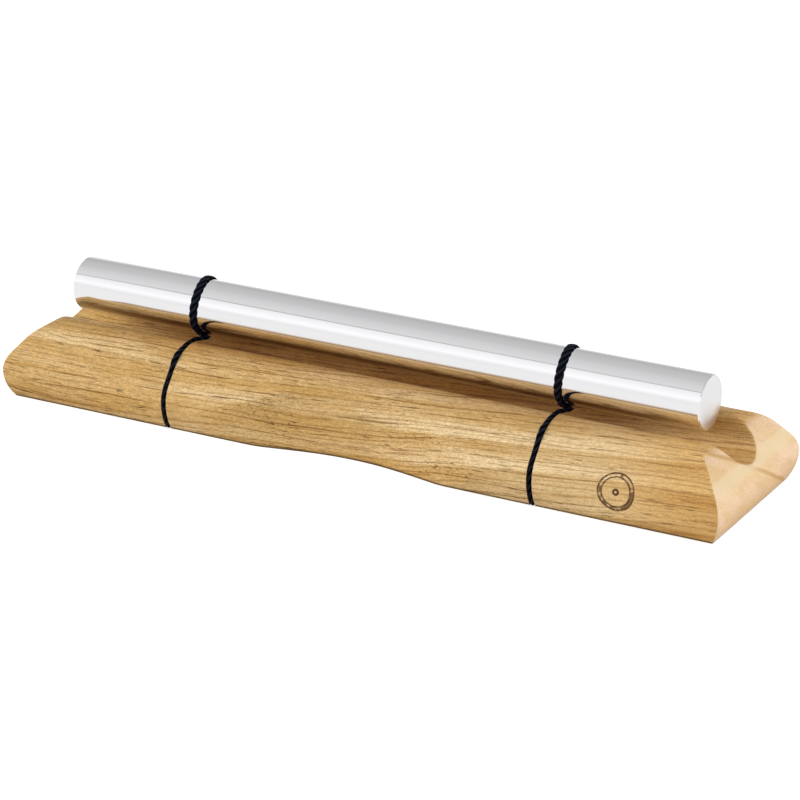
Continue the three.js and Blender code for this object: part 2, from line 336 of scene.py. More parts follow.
# The grain runs a little out of the block, most in its right-hand half
WAVE_START_MM = 250.0
WAVE_HALF_MM = 300.0
WAVE_DEPTH_MM = 8.0

# The painted highlight on the eased rim of the end faces lies further out along the block than this
EDGE_HIGHLIGHT_FROM_MM = 112.0

# A darker growth ring that shows on the end faces, from the trough down to the back
LAST_RING_MM = 11.6

# Half length of the stretch under the rod, where the trough and the ridges get painted shade from
# the rod, darker than the trough's open ends
SHADED_FROM_MM = 60.0
SHADED_TO_MM = 106.0

# The ring sign's dot, a small ring too: its radius as cut and as burnt. The burn is uneven
DOT_CUT_MM = 0.8
DOT_BURN_MM = 0.7
SIGN_UNEVEN_MM = 0.25

# Where the cut's walls start and end, from the middle of its line: for the ring as a share of
# the band's width
BAND_WALL = (0.35, 0.6)
DOT_WALL_MM = (0.25, 0.5)


class BlockShape:
    """The block's outlines in millimetres, from the settings and the frame."""

    def __init__(self, settings):
        self.__dict__.update(sizes_in_mm(settings))
        self.grip_flatness = settings.grip_flatness
        _, (self.half_length, self.half_width, self.height) = node_box("base_block")
        run_low, run_high = node_box("right_cord_front_run")
        self.kerf_place = (run_low[0] + run_high[0]) / 2
        self.half_crest = self.crest_spread / 2
        self.trough_axis = self.trough_floor + self.trough_radius
        to_crest = self.half_width - self.belly_radius - self.half_crest
        to_top = self.height - self.belly_height - self.belly_radius
        self.lean = math.pi / 2 - 2 * math.atan(to_top / (to_crest + self.flank_length))
        self.shoulder_radius = self.belly_radius + (
            to_crest - self.flank_length * math.sin(self.lean)
        ) / math.cos(self.lean)
        rise = self.height - self.trough_axis
        self.ease_radius = (self.half_crest**2 - self.trough_radius**2 + rise**2) / (
            2 * (self.trough_radius + rise)
        )
        self.ease_height = self.height - self.ease_radius
        self.wall_angle = math.atan2(self.ease_height - self.trough_axis, self.half_crest)
        flank = self.profile(0.0, 0.0, self.foot_ease)[:FLANK_LEVELS, :2]
        self.sign_arc = float(np.interp(self.sign_height, flank[:, 1], way_along(flank)))

    def profile(self, sink, crest_sink, foot, step=LEVEL_STEP_MM):
        """Side outline from the foot to the crest: how far in from the widest line, height,
        and the outward normal. It is sunk by a depth, and its crest by another."""
        undercut = self.undercut_radius - sink
        belly = self.belly_radius - sink
        shoulder = self.shoulder_radius - sink
        start = -math.asin((self.belly_height - sink - foot) / undercut)
        shoulder_height = self.height - crest_sink - shoulder
        out = sink + belly
        shoulder_in = out + (
            shoulder - belly + math.sin(self.lean) * (shoulder_height - self.belly_height)
        ) / math.cos(self.lean)
        arcs = [
            (sink + undercut, self.belly_height, undercut, start, 0.0, self.undercut_radius),
            (out, self.belly_height, belly, 0.0, self.lean, self.belly_radius),
            (shoulder_in, shoulder_height, shoulder, self.lean, math.pi / 2, self.shoulder_radius),
        ]
        rows = []
        for index, (centre, height, radius, first, last, face_radius) in enumerate(arcs):
            span = last - first if index else UNDERCUT_ANGLE
            angles = np.linspace(first, last, max(6, round(abs(span) * face_radius / step)) + 1)
            normals = np.stack([np.cos(angles), np.sin(angles)], axis=1)
            places = np.array([centre, height]) + radius * normals * [-1, 1]
            points = np.hstack([places, normals])
            if index == 2:
                flank = np.linspace(0, 1, round(self.flank_length / step) + 1)[1:-1]
                behind, ahead = rows[-1][-1, :2], places[0]
                between = behind + (ahead - behind) * flank[:, None]
                normal = [math.cos(self.lean), math.sin(self.lean)]
                rows.append(np.hstack([between, np.tile(normal, (len(flank), 1))]))
            rows.append(points[1:] if index == 1 else points)
        return np.vstack(rows)

    def trough_height(self, across):
        """Height of the trough's surface at a distance from the middle."""
        across = np.abs(across)
        wall = self.trough_radius * math.cos(self.wall_angle)
        inside = np.clip(self.trough_radius**2 - across**2, 0, None)
        off = np.clip(self.half_crest - across, 0, self.ease_radius)
        round_part = self.trough_axis - np.sqrt(inside)
        ease_part = self.ease_height + np.sqrt(self.ease_radius**2 - off**2)
        height = np.where(across < wall, round_part, ease_part)
        return np.where(across > self.half_crest, self.height, height)

    def grip_depth_at(self, x, z):
        """How deep the hand grip is cut at a place: flat at its crease, a plain wave at its
        foot."""
        rise = np.clip(z / (self.height * CREASE_HEIGHT), 0, 1)
        shorter = self.grip_crease_length - self.grip_foot_length
        half = (self.grip_foot_length + shorter * rise) / 2
        power = 1 + (self.grip_flatness - 1) * rise
        along = np.clip(np.abs(x) / half, 0, 1) ** power
        return self.grip_depth * (1 + np.cos(np.pi * along)) / 2

    def side_reach(self, inset, x, z):
        """Distance from the middle line to the long side, grips included."""
        depth = self.grip_depth_at(x, z)
        ease = CREASE_EASE_MM * smooth_share(depth, *CREASE_DEPTHS_MM)
        return soft_lower(self.half_width - inset, self.half_width - depth, ease)


class Patches:
    """Collects grids of points and joins them where they meet."""

    def __init__(self):
        self.points = []
        self.uvs = []
        self.faces = []
        self.count = 0

    def grid(self, x, y, z, uv=None, flip=False):
        """Adds a grid of points. Without a UV map of its own it is laid well away from the sign."""
        rows, columns = x.shape
        self.points.append(np.stack([x, y, z], axis=-1).reshape(-1, 3))
        if uv is None:
            uv = np.stack([x * UV_PER_MM, y * UV_PER_MM - 1], axis=-1)
        self.uvs.append(uv.reshape(-1, 2))
        index = np.arange(rows * columns).reshape(rows, columns) + self.count
        self.count += rows * columns
        corners = [index[:-1, :-1], index[:-1, 1:], index[1:, 1:], index[1:, :-1]]
        quads = np.stack(corners, axis=-1).reshape(-1, 4)
        self.faces.append(quads[:, ::-1] if flip else quads)

    def build(self, name):
        """One mesh of all the grids. Points in the same place are joined, and a face that is
        left with two corners goes."""
        points = np.vstack(self.points)
        uvs = np.vstack(self.uvs)
        quads = np.vstack(self.faces)
        keys = np.round(points, 4)
        _, first, inverse = np.unique(keys, axis=0, return_index=True, return_inverse=True)
        inverse = inverse.ravel()
        faces = []
        loops = []
        for quad in quads:
            corners = []
            for corner in quad:
                joined = int(inverse[corner])
                if joined not in [c[0] for c in corners]:
                    corners.append((joined, corner))
            if len(corners) > 2:
                faces.append([c[0] for c in corners])
                loops.extend(c[1] for c in corners)
        return mesh_object(name, points[first], faces, uvs[loops])


def block_columns(shape):
    """Places along the block: fixed ones, then ones that stretch out to the mitres. Each has a
    base, a share of the stretch, and how far the skin is sunk there."""
    fixed_end = shape.half_length - shape.half_width + shape.half_crest - MITRE_MARGIN_MM
    sign_start = shape.sign_place - SIGN_FINE_MM
    sign_end = shape.sign_place + SIGN_FINE_MM
    steps = [
        (-fixed_end, -shape.kerf_place, 4.0),
        (-shape.kerf_place, -GRIP_FINE_MM, 3.5),
        (-GRIP_FINE_MM, GRIP_FINE_MM, 0.72),
        (GRIP_FINE_MM, shape.kerf_place, 3.5),
        (shape.kerf_place, sign_start, 4.0),
        (sign_start, sign_end, 0.28),
        (sign_end, fixed_end, 2.5),
    ]
    places = [-fixed_end]
    for first, last, step in steps:
        count = max(1, round((last - first) / step))
        places.extend(np.linspace(first, last, count + 1)[1:])
    half = shape.kerf_width / 2
    columns = []
    for place in places:
        if min(abs(place - shape.kerf_place), abs(place + shape.kerf_place)) < 0.01:
            for offset, sink in (
                (-half - shape.kerf_lip, 0.0),
                (-half, shape.kerf_lip),
                (-half, shape.kerf_depth),
                (half, shape.kerf_depth),
                (half, shape.kerf_lip),
                (half + shape.kerf_lip, 0.0),
            ):
                columns.append((place + offset, 0.0, sink))
        else:
            columns.append((place, 0.0, 0.0))
    stretch = np.linspace(0, 1, MITRE_COLUMNS + 1)[1:]
    left = [(-fixed_end, -share, 0.0) for share in stretch[::-1]]
    right = [(fixed_end, share, 0.0) for share in stretch]
    return np.array(left + columns + right), fixed_end


def block_rows(shape):
    """Places across the block, spaced by the trough's curve, then stretching to the mitres."""
    tangent = math.pi / 2 + shape.wall_angle
    inner = shape.trough_radius * np.sin(np.linspace(0, tangent, TROUGH_ROWS + 1))
    fixed_end = shape.trough_radius + RIDGE_MARGIN_MM
    off = np.arccos(np.clip((shape.half_crest - fixed_end) / shape.ease_radius, -1, 1))
    angles = np.linspace(-shape.wall_angle, off, RIDGE_ROWS + 1)[1:]
    outer = shape.half_crest - shape.ease_radius * np.cos(angles)
    places = np.concatenate([inner, outer])
    places[-1] = fixed_end
    stretch = np.linspace(0, 1, MITRE_ROWS + 1)[1:]
    half = [(place, 0.0) for place in places] + [(fixed_end, share) for share in stretch]
    rows = [(-base, -share) for base, share in half[:0:-1]] + half
    return np.array(rows), fixed_end


def block_skin(shape):
    """The whole block as one closed skin, before its pockets are drilled."""
    columns, fixed_x = block_columns(shape)
    rows, fixed_y = block_rows(shape)
    ease = shape.edge_ease
    foot = shape.foot_ease
    profiles = {}
    for sink in np.unique(columns[:, 2]):
        deep = sink > shape.kerf_lip + 0.01
        crest_sink = shape.kerf_crest_depth if deep else sink
        profiles[sink] = shape.profile(sink, crest_sink, foot)
    face = profiles[0.0]
    up_skin = way_along(face[:, :2])[:, None]
    patches = Patches()

    # The long sides, with the ring sign cut into the front one
    base, share, sink = columns.T
    stack = np.stack([profiles[s] for s in sink], axis=1)
    inset, height, normal_out, normal_up = (stack[:, :, i] for i in range(4))
    x = base + share * (shape.half_length - inset - ease - fixed_x)
    reach = shape.side_reach(inset, x, height)
    away = np.hypot(x - shape.sign_place, up_skin - shape.sign_arc)
    from_band = abs(away - shape.sign_radius) / shape.sign_band
    band = 1 - smooth_share(from_band, *BAND_WALL)
    dot = 1 - smooth_share(abs(away - DOT_CUT_MM), *DOT_WALL_MM)
    cut = shape.sign_depth * np.maximum(band, dot)
    uv = np.stack([x * UV_PER_MM, np.broadcast_to(up_skin * UV_PER_MM, x.shape)], axis=-1)
    patches.grid(x, -(reach - cut * normal_out), height - cut * normal_up, uv=uv)
    patches.grid(x, reach, height, flip=True)

    # The end faces, with the trough's mouth
    row_base, row_share = rows.T
    inset_end = face[:, 0][:, None]
    height_end = face[:, 1][:, None]
    y_end = row_base + row_share * (shape.half_width - inset_end - ease - fixed_y)
    fade_start = shape.trough_radius - TROUGH_EASE_START_MM
    fade_end = shape.half_crest - TROUGH_EASE_END_MM
    lower = TROUGH_EASE_MM * (1 - smooth_share(abs(y_end), fade_start, fade_end))
    crested = abs(y_end) < shape.half_crest
    trough = np.where(crested, shape.trough_height(y_end), FAR_ABOVE_MM)
    z_end = soft_lower(height_end + 0 * y_end, trough, np.where(crested, lower, 0))
    x_end = shape.half_length - inset_end + 0 * y_end
    patches.grid(x_end, y_end, z_end)
    patches.grid(-x_end, y_end, z_end, flip=True)

    # The four upright corners
    turn = np.linspace(0, math.pi / 2, CORNER_STEPS)
    for sx in (-1, 1):
        for sy in (-1, 1):
            corner_x = shape.half_length - inset_end - ease + ease * np.cos(turn)
            corner_y = shape.half_width - inset_end - ease + ease * np.sin(turn)
            flat = height_end + 0 * corner_x
            patches.grid(sx * corner_x, sy * corner_y, flat, flip=sx * sy < 0)

    # The top, with the trough along it
    top_x = x[-1]
    top_reach = reach[-1]
    top_rows = rows_between(shape, y_end[-1], top_reach)
    level = height[-1][None, :]
    top_z = np.minimum(shape.trough_height(top_rows), level)
    top = np.vstack([-top_reach, top_rows, top_reach])
    top_zs = np.vstack([level, top_z, level])
    patches.grid(np.broadcast_to(top_x, top.shape), top, top_zs)
    for sx, column in ((1, -1), (-1, 0)):
        edge_x = np.stack([np.full(len(rows), top_x[column]), sx * x_end[-1]])
        edge_y = np.stack([top_rows[:, column], y_end[-1]])
        edge_z = np.stack([top_z[:, column], z_end[-1]])
        patches.grid(edge_x, edge_y, edge_z, flip=sx > 0)
    close_corners(patches, shape, face[-1], top_z[0, 0], ease, turn, up=True)

    # The underside
    low_x = x[0]
    low_reach = reach[0]
    scale = (low_reach - ease) / (shape.half_width - face[0, 0] - ease)
    low_rows = y_end[0][:, None] * scale[None, :]
    under = np.where(sink > shape.kerf_lip + 0.01, shape.kerf_depth, sink)
    inner_reach = low_reach - foot
    low = np.vstack([-low_reach, -inner_reach, low_rows, inner_reach, low_reach])
    low_z = np.vstack([height[0], under, np.tile(under, (len(rows), 1)), under, height[0]])
    patches.grid(np.broadcast_to(low_x, low.shape), low, low_z, flip=True)
    for sx, column in ((1, -1), (-1, 0)):
        outer_x = sx * x_end[0]
        edge_x = np.stack([np.full(len(rows), low_x[column]), outer_x - sx * foot, outer_x])
        edge_y = np.stack([low_rows[:, column], y_end[0], y_end[0]])
        edge_z = np.stack([np.zeros(len(rows)), np.zeros(len(rows)), z_end[0]])
        patches.grid(edge_x, edge_y, edge_z, flip=sx < 0)
    close_corners(patches, shape, face[0], 0.0, ease, turn, up=False, foot=foot)
    return patches.build("oiled_block")


def rows_between(shape, y_face, reach):
    """Rows of the top at each column: the same inside the trough, but drawn in where the crest
    is sunk."""
    hold = shape.trough_radius - STRAIGHT_ROWS_MM
    limit = reach[None, :] / shape.half_crest
    outside = np.clip(abs(y_face)[:, None] - hold, 0, None)
    room = (shape.half_crest * limit - hold) / (shape.half_crest - hold)
    inside = np.minimum(abs(y_face)[:, None], hold)
    return np.sign(y_face)[:, None] * (inside + outside * room)


def close_corners(patches, shape, edge, level, ease, turn, up, foot=0.0):
    """The small fans that close the top and the underside at the four mitres."""
    centre_x = shape.half_length - edge[0] - ease
    centre_y = shape.half_width - edge[0] - ease
    radii = [0.0, ease] if up else [0.0, ease - foot, ease]
    heights = [level, edge[1]] if up else [0.0, 0.0, edge[1]]
    for sx in (-1, 1):
        for sy in (-1, 1):
            ring_x = np.stack([sx * (centre_x + r * np.cos(turn)) for r in radii])
            ring_y = np.stack([sy * (centre_y + r * np.sin(turn)) for r in radii])
            ring_z = np.stack([np.full(len(turn), h) for h in heights])
            patches.grid(ring_x, ring_y, ring_z, flip=(sx * sy > 0) == up)


def drill_pockets(block, shape):
    """Cuts the two knot pockets into the underside."""
    for place in (-shape.kerf_place, shape.kerf_place):
        bpy.ops.mesh.primitive_cylinder_add(
            vertices=POCKET_SIDES,
            radius=shape.pocket_radius * MM,
            depth=2 * shape.pocket_depth * MM,
            location=(place * MM, 0, 0),
        )
        drill = bpy.context.object
        cut = block.modifiers.new("pocket", "BOOLEAN")
        cut.operation = "DIFFERENCE"
        cut.solver = "EXACT"
        cut.object = drill
        applied(block)
        bpy.data.objects.remove(drill)


# The wood's patterns: sizes in millimetres along the grain, across the growth rings and round
# them, then the noise's detail and roughness, and where it starts, so that no two are alike
WOOD_PATTERNS = {
    "broad": ((70, 7, 22), 2.0, 0.5, 0.0),
    "patchy": ((16, 5, 9), 3.0, 0.6, 2.2),
    "ring_sway": ((110, 14, 40), 2.0, 0.5, 7.3),
    "ring_breaks": ((19, 1.3, 8), 2.0, 0.6, 5.7),
    "fine_sway": ((60, 5, 14), 2.0, 0.5, 3.1),
    "fine_breaks": ((9, 0.9, 4), 2.0, 0.6, 9.1),
    "growth_sway": ((90, 18, 40), 2.0, 0.5, 12.4),
    "fibre": ((1.7, 0.34, 0.34), 2.0, 0.6, 11.9),
    "speckle": ((0.62, 0.5, 0.5), 1.0, 0.6, 17.3),
    "pore": ((6.0, 0.36, 0.4), 1.0, 0.4, 23.7),
    "pore_zone": ((26, 3.2, 9), 2.0, 0.5, 15.7),
    "streak": ((26, 1.2, 7), 2.0, 0.5, 29.3),
    "streak_zone": ((60, 9, 20), 1.0, 0.5, 31.1),
    "tongue_edge": ((22, 5, 9), 3.0, 0.6, 41.3),
}

# The ring sign's patterns, in the same order, with plain sizes along the block's three sides
SIGN_PATTERNS = {
    "uneven": ((1, 1, 1), 2.0, 0.5, 1.7),
    "scorch": ((10 / 3, 10 / 3, 10 / 3), 2.0, 0.6, 4.4),
    "worn_rim": ((1, 1, 1), 2.0, 0.5, 8.8),
}

# Lines across the growth rings: their mean spacing and how far they sway, in millimetres
WOOD_LINES = {"ring": (3.4, 8.0), "fine": (1.5, 3.4), "growth": (8.5, 10.0)}
RING_LINE_HALF_MM = 0.3
FINE_LINE_HALF_MM = 0.34

# The grain wanders by so much, over so many millimetres along and across the block
WANDER_MM = 3.0
WANDER_OVER_MM = (85, 26, 26)

# Directions across the growth rings and round them, where the board was cut from the log
ACROSS_RINGS = (0, 0.5, 0.87)
ROUND_RINGS = (0, -0.87, 0.5)

# The golden tongue that the hand grips cut open: its middle, and its half sizes
TONGUE_MIDDLE_MM = (-12, 0, 4)
TONGUE_HALF_LENGTH_MM = 36
TONGUE_HALF_HEIGHT_MM = 13

# The wood turns slightly darker for each millimetre to the left
PALER_TO_RIGHT = -0.0011


def oiled_hardwood(settings, shape):
    """Rubberwood-like hardwood, sawn, sanded and rubbed with oil: satin, with long straight
    grain lines, open pores that show as short dark dashes, and paler, speckled end grain."""
    material, add = new_material("oiled_hardwood")
    tone = {
        name: (*getattr(settings, name), 1.0)
        for name in settings.__annotations__
        if not isinstance(getattr(settings, name), float)
    }
    place = add(PLACE)
    in_mm = add(VECTOR, place.outputs["Object"], 1 / MM, operation="SCALE")

    def apart(value, mark):
        """How far a value lies from a mark, on either side of it."""
        off = add(MATH, value, mark, operation="SUBTRACT")
        return add(MATH, off, operation="ABSOLUTE")

    def laid(under, over, *shares, blend="MIX"):
        """A colour laid over another, by the product of the shares."""
        amount = shares[0]
        for factor in shares[1:]:
            amount = add(MATH, amount, factor, operation="MULTIPLY")
        return add(MIX, amount, under, over, **COLOURS, blend_type=blend)

    # Slow wander of the grain
    over = [1 / size for size in WANDER_OVER_MM]
    wander = add(VECTOR, in_mm, over, operation="MULTIPLY")
    wander = add(NOISE, wander, 1.0, 2.0).outputs["Color"]
    wander = add(VECTOR, wander, (0.5, 0.5, 0.5), operation="SUBTRACT")
    wander = add(VECTOR, wander, (0, WANDER_MM, WANDER_MM), operation="MULTIPLY")
    grown = add(VECTOR, in_mm, wander, operation="ADD")

    # Across the growth rings, which lie steeply in the block and wave along it
    along_grain = add(SPLIT, grown)
    wave = add(MATH, along_grain, WAVE_START_MM, operation="ADD")
    wave = add(MATH, wave, math.pi / WAVE_HALF_MM, operation="MULTIPLY")
    wave = add(MATH, wave, operation="SINE")
    wave = add(MATH, wave, WAVE_DEPTH_MM, operation="MULTIPLY")
    lean = add(VECTOR, grown, ACROSS_RINGS, operation="DOT_PRODUCT")
    ring = add(MATH, lean, wave, operation="ADD")
    tangent = add(VECTOR, grown, ROUND_RINGS, operation="DOT_PRODUCT")
    in_rings = add("ShaderNodeCombineXYZ", along_grain, ring, tangent)

    noise = {}
    for space, patterns in ((in_rings, WOOD_PATTERNS), (in_mm, SIGN_PATTERNS)):
        for name, (sizes, detail, roughness, start) in patterns.items():
            fitted = [1 / size for size in sizes]
            moved = add(VECTOR, space, fitted, operation="MULTIPLY")
            moved = add(VECTOR, moved, (start,) * 3, operation="ADD")
            noise[name] = add(NOISE, moved, 1.0, detail, roughness)
    lines = {}
    for name, (spacing, sway) in WOOD_LINES.items():
        line = add(MATH, noise[f"{name}_sway"], sway, ring, operation="MULTIPLY_ADD")
        line = add(MATH, line, 1 / spacing, operation="MULTIPLY")
        lines[name] = add(MATH, line, operation="FRACT")
    paler = add(MATH, along_grain, PALER_TO_RIGHT, noise["broad"], operation="MULTIPLY_ADD")

    # The hand grips cut into deeper rings, which show as a golden tongue with a clear edge
    tongue = add(VECTOR, in_mm, TONGUE_MIDDLE_MM, operation="SUBTRACT")
    fitted = (1 / TONGUE_HALF_LENGTH_MM, 0, 1 / TONGUE_HALF_HEIGHT_MM)
    tongue = add(VECTOR, tongue, fitted, operation="MULTIPLY")
    tongue = add(VECTOR, tongue, operation="LENGTH")
    tongue = add(MATH, noise["tongue_edge"], 0.9, tongue, operation="MULTIPLY_ADD")

    # Places on the block, and which way its surface faces
    spot = add(SPLIT, in_mm)
    along = add(MATH, spot.outputs["X"], operation="ABSOLUTE")
    across = add(MATH, spot.outputs["Y"], operation="ABSOLUTE")
    height = spot.outputs["Z"]
    to_end = add(SPLIT, place.outputs["Normal"])
    to_end = add(MATH, to_end, operation="ABSOLUTE")
    half_kerf = shape.kerf_width / 2
    lip_edge = half_kerf + shape.kerf_lip
    half_band = shape.sign_band / 2

    # The ring sign: distances from its middle along the skin, made a little uneven
    skin = add("ShaderNodeUVMap", uv_map="skin")
    middle = (shape.sign_place * UV_PER_MM, shape.sign_arc * UV_PER_MM, 0)
    from_sign = add(VECTOR, skin, middle, operation="SUBTRACT")
    below = add(SPLIT, from_sign).outputs["Y"]
    uneven = add(MATH, noise["uneven"], 0.5, operation="SUBTRACT")
    uneven = add(MATH, uneven, SIGN_UNEVEN_MM, operation="MULTIPLY")
    from_sign = add(VECTOR, from_sign, operation="LENGTH")
    from_sign = add(MATH, from_sign, 1 / UV_PER_MM, uneven, operation="MULTIPLY_ADD")
    from_band = apart(from_sign, shape.sign_radius)
    lower_half = add(RANGE, below, -0.04, 0.03, 0.1, -0.04, **SMOOTH)
    scorch = add(MATH, noise["scorch"], lower_half, operation="ADD")

    # How far each layer shows: what it reads, where it starts and ends there, and its share
    # at the start and the end where that isn't 0 and 1
    limits = {
        "broad": (paler, 0.34, 0.66),
        "patchy": (noise["patchy"], 0.32, 0.68),
        "ring": (apart(lines["ring"], 0.5), 0, RING_LINE_HALF_MM / WOOD_LINES["ring"][0], 1, 0),
        "ring_breaks": (noise["ring_breaks"], 0.4, 0.56),
        "fine": (apart(lines["fine"], 0.5), 0, FINE_LINE_HALF_MM / WOOD_LINES["fine"][0], 1, 0),
        "fine_breaks": (noise["fine_breaks"], 0.36, 0.54),
        "late_rise": (lines["growth"], 0.1, 0.93),
        "late_stop": (lines["growth"], 0.93, 1, 1, 0),
        "pore": (noise["pore"], 0.62, 0.7),
        "pore_zone": (noise["pore_zone"], 0.42, 0.6, 0.3, 1),
        "streak": (noise["streak"], 0.6, 0.7),
        "streak_zone": (noise["streak_zone"], 0.45, 0.6),
        "tongue": (tongue, 1.3, 1.42, 1, 0),
        "tongue_left": (along_grain, -6, 30, 1, 0),
        "calm": (along_grain, 25, 100, 1, 0.7),
        "golden": (along_grain, 72, 108),
        "fibre": (noise["fibre"], 0.25, 0.75, 0.8, 1.17),
        "speckle": (noise["speckle"], 0.25, 0.75, 0.86, 1.14),
        "near_middle": (across, shape.half_crest, shape.half_crest + 8, 1, 0),
        "above_floor": (height, shape.trough_floor - 0.4, shape.trough_floor - 0.1),
        "under_rod": (along, SHADED_FROM_MM, SHADED_TO_MM, 1, 0),
        "in_trough": (across, shape.trough_radius - 1.5, shape.half_crest - 1, 1, 0),
        "end": (to_end, 0.35, 0.6),
        "last_ring": (apart(lean, LAST_RING_MM), 0.1, 1, 0.7, 0),
        "edge_highlight_start": (to_end, 0.2, 0.4),
        "edge_highlight_stop": (to_end, 0.75, 0.95, 1, 0),
        "edge_highlight_reach": (along, EDGE_HIGHLIGHT_FROM_MM, EDGE_HIGHLIGHT_FROM_MM + 1),
        "kerf": (apart(along, shape.kerf_place), half_kerf + 0.01, lip_edge, 1, 0),
        "kerf_reach": (across, shape.trough_radius, shape.trough_radius + 0.5),
        "foot_shade": (height, 0.3, 1.1, 1, 0),
        "sign_band": (from_band, half_band, half_band + 0.2, 1, 0),
        "sign_rim": (from_band, half_band * 0.2, half_band * 0.75),
        "worn_rim": (noise["worn_rim"], 0.3, 0.55, 0.65, 1),
        "sign_dot": (apart(from_sign, DOT_BURN_MM), 0.2, 0.45, 1, 0),
        "scorch": (scorch, 0.45, 0.58),
    }
    share = {name: add(RANGE, *row, **SMOOTH) for name, row in limits.items()}
    for whole, first, second in (
        ("late", "late_rise", "late_stop"),
        ("pores", "pore", "pore_zone"),
        ("grainy", "fibre", "speckle"),
        ("ridge", "near_middle", "above_floor"),
        ("shaded", "ridge", "under_rod"),
        ("worn_sign", "sign_rim", "worn_rim"),
    ):
        share[whole] = add(MATH, share[first], share[second], operation="MULTIPLY")

    # Long grain. The pattern is plainer and the wood more golden towards the right end
    wood = tone["light_wood"]
    for colour_name, strength, *names in (
        ("warm_wood", 0.8, "broad"),
        ("light_wood", 0.35, "patchy"),
        ("warm_wood", 0.5, "late"),
        ("figure", 0.55, "tongue", "tongue_left"),
        ("red_streak", 0.5, "streak", "streak_zone"),
        ("fine_line", 0.62, "fine", "fine_breaks", "calm"),
        ("grain_line", 0.8, "ring", "ring_breaks", "calm"),
    ):
        wood = laid(wood, tone[colour_name], strength, *(share[name] for name in names))
    wood = laid(wood, share["grainy"], share["calm"], blend="MULTIPLY")
    wood = laid(wood, tone["pore"], 0.8, share["pores"], share["calm"])
    wood = laid(wood, tone["gold_tint"], share["golden"], blend="MULTIPLY")

    # Painted shade: the routed trough and the ridges beside it are darkened under the rod, where it
    # blocks the light, the trough most
    wood = laid(wood, tone["ridge_tint"], share["shaded"], blend="MULTIPLY")
    in_trough = (share["in_trough"], share["shaded"])
    wood = laid(wood, tone["trough_tint"], *in_trough, blend="MULTIPLY")

    # End grain: paler, with a darker growth ring and the pores as dots, and a painted highlight on
    # the eased rim of the end faces
    end = laid(tone["end_wood"], tone["rosy_end"], share["patchy"])
    end = laid(end, tone["warm_wood"], 0.1, share["late"])
    end = laid(end, tone["warm_wood"], share["last_ring"])
    end = laid(end, share["grainy"], 0.45, blend="MULTIPLY")
    end = laid(end, tone["pore"], 0.18, share["pores"])
    wood = laid(wood, end, share["end"])
    rim = [share[name] for name in ("edge_highlight_start", "edge_highlight_stop", "edge_highlight_reach")]
    wood = laid(wood, tone["worn_edge"], 0.7, *rim)

    # Painted shade: the sawn kerf walls and the lower edge are darkened where shade falls in the
    # kerfs and along the floor
    wood = laid(wood, tone["kerf_dark"], 0.9, share["kerf"], share["kerf_reach"])
    wood = laid(wood, tone["kerf_dark"], 0.85, share["foot_shade"])

    # The ring sign, burnt in: dark rims, a paler middle of the band, and a small ring dot
    scorched = add(MATH, share["scorch"], 0.8, operation="MULTIPLY")
    sign = add(MATH, scorched, share["worn_sign"], operation="MAXIMUM")
    sign = add(MATH, share["sign_band"], sign, operation="MULTIPLY")
    dot = add(MATH, share["sign_dot"], 0.95, operation="MULTIPLY")
    sign = add(MATH, sign, dot, operation="MAXIMUM", use_clamp=True)
    wood = laid(wood, tone["burnt"], sign)

    # Fibres stand up a little and pores are sunk. The golden bands are slightly duller
    sunk = add(MATH, share["pores"], -1.0, operation="MULTIPLY")
    relief = add(MATH, noise["fibre"], 0.35, sunk, operation="MULTIPLY_ADD")
    bump = add(BUMP, {"Height": relief, "Strength": 0.35, "Distance": 0.06 * MM})
    dull = add(RANGE, share["broad"], 0, 1, 0.42, 0.5, **SMOOTH)
    finish = {
        "Base Color": wood,
        "Roughness": dull,
        "IOR": 1.47,
        "Specular IOR Level": 0.35,
        "Normal": bump,
    }
    add(OUTPUT, add(SURFACE, finish))
    return material


class CHIME_OT_block(bpy.types.Operator):
    """Makes the hollowed wooden block, with its kerfs, pockets and ring sign."""

    bl_idname = "chime.block"
    bl_label = "Make block"

    def execute(self, context):
        settings = context.scene.chime_block
        shape = BlockShape(settings)
        block = block_skin(shape)
        drill_pockets(block, shape)
        shade_smooth(block, BLOCK_SHARP_DEGREES)
        block.data.materials.clear()
        block.data.materials.append(oiled_hardwood(settings, shape))
        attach(block, "base")
        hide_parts("base_block")
        return {"FINISHED"}


# Metal rod

ROD_SIDES = 160
ROD_RINGS = 9
ROD_SHARP_DEGREES = 30

# How far the chamfer's corners are eased, as a share of it, and where the points between lie
CHAMFER_EASE = 0.2
EASE_BETWEEN = 0.3

# Sizes of the metal's texture in millimetres: lines along the rod, and the faced ends' grain,
# both drawn coarser than real ones, so that they show. Each is followed by its detail
ROD_TEXTURES = (((60, 0.25, 0.25), 2.0), ((0.4, 1.2, 0.3), 3.0))


def polished_aluminium(settings):
    """Aluminium rod, drawn and polished along its length: near-mirror, with faint long lines
    that blur its reflections a little across. The ends are faced finer and look paler."""
    material, add = new_material("polished_aluminium")
    place = add(PLACE)
    textures = []
    for sizes, detail in ROD_TEXTURES:
        fitted = [1 / (size * MM) for size in sizes]
        fitted = add(VECTOR, place.outputs["Object"], fitted, operation="MULTIPLY")
        textures.append(add(NOISE, fitted, 1.0, detail))
    to_end = add(SPLIT, place.outputs["Normal"])
    to_end = add(MATH, to_end, operation="ABSOLUTE")
    end_share = add(RANGE, to_end, 0.8, 0.95)
    height = add(MIX, end_share, *textures, data_type="FLOAT")
    finish = {
        "Base Color": (*settings.metal, 1.0),
        "Metallic": 1.0,
        "Roughness": add(RANGE, end_share, 0, 1, 0.05, 0.3),
        "Normal": add(BUMP, {"Height": height, "Strength": 0.12, "Distance": 0.02 * MM}),
    }
    add(OUTPUT, add(SURFACE, finish))
    return material


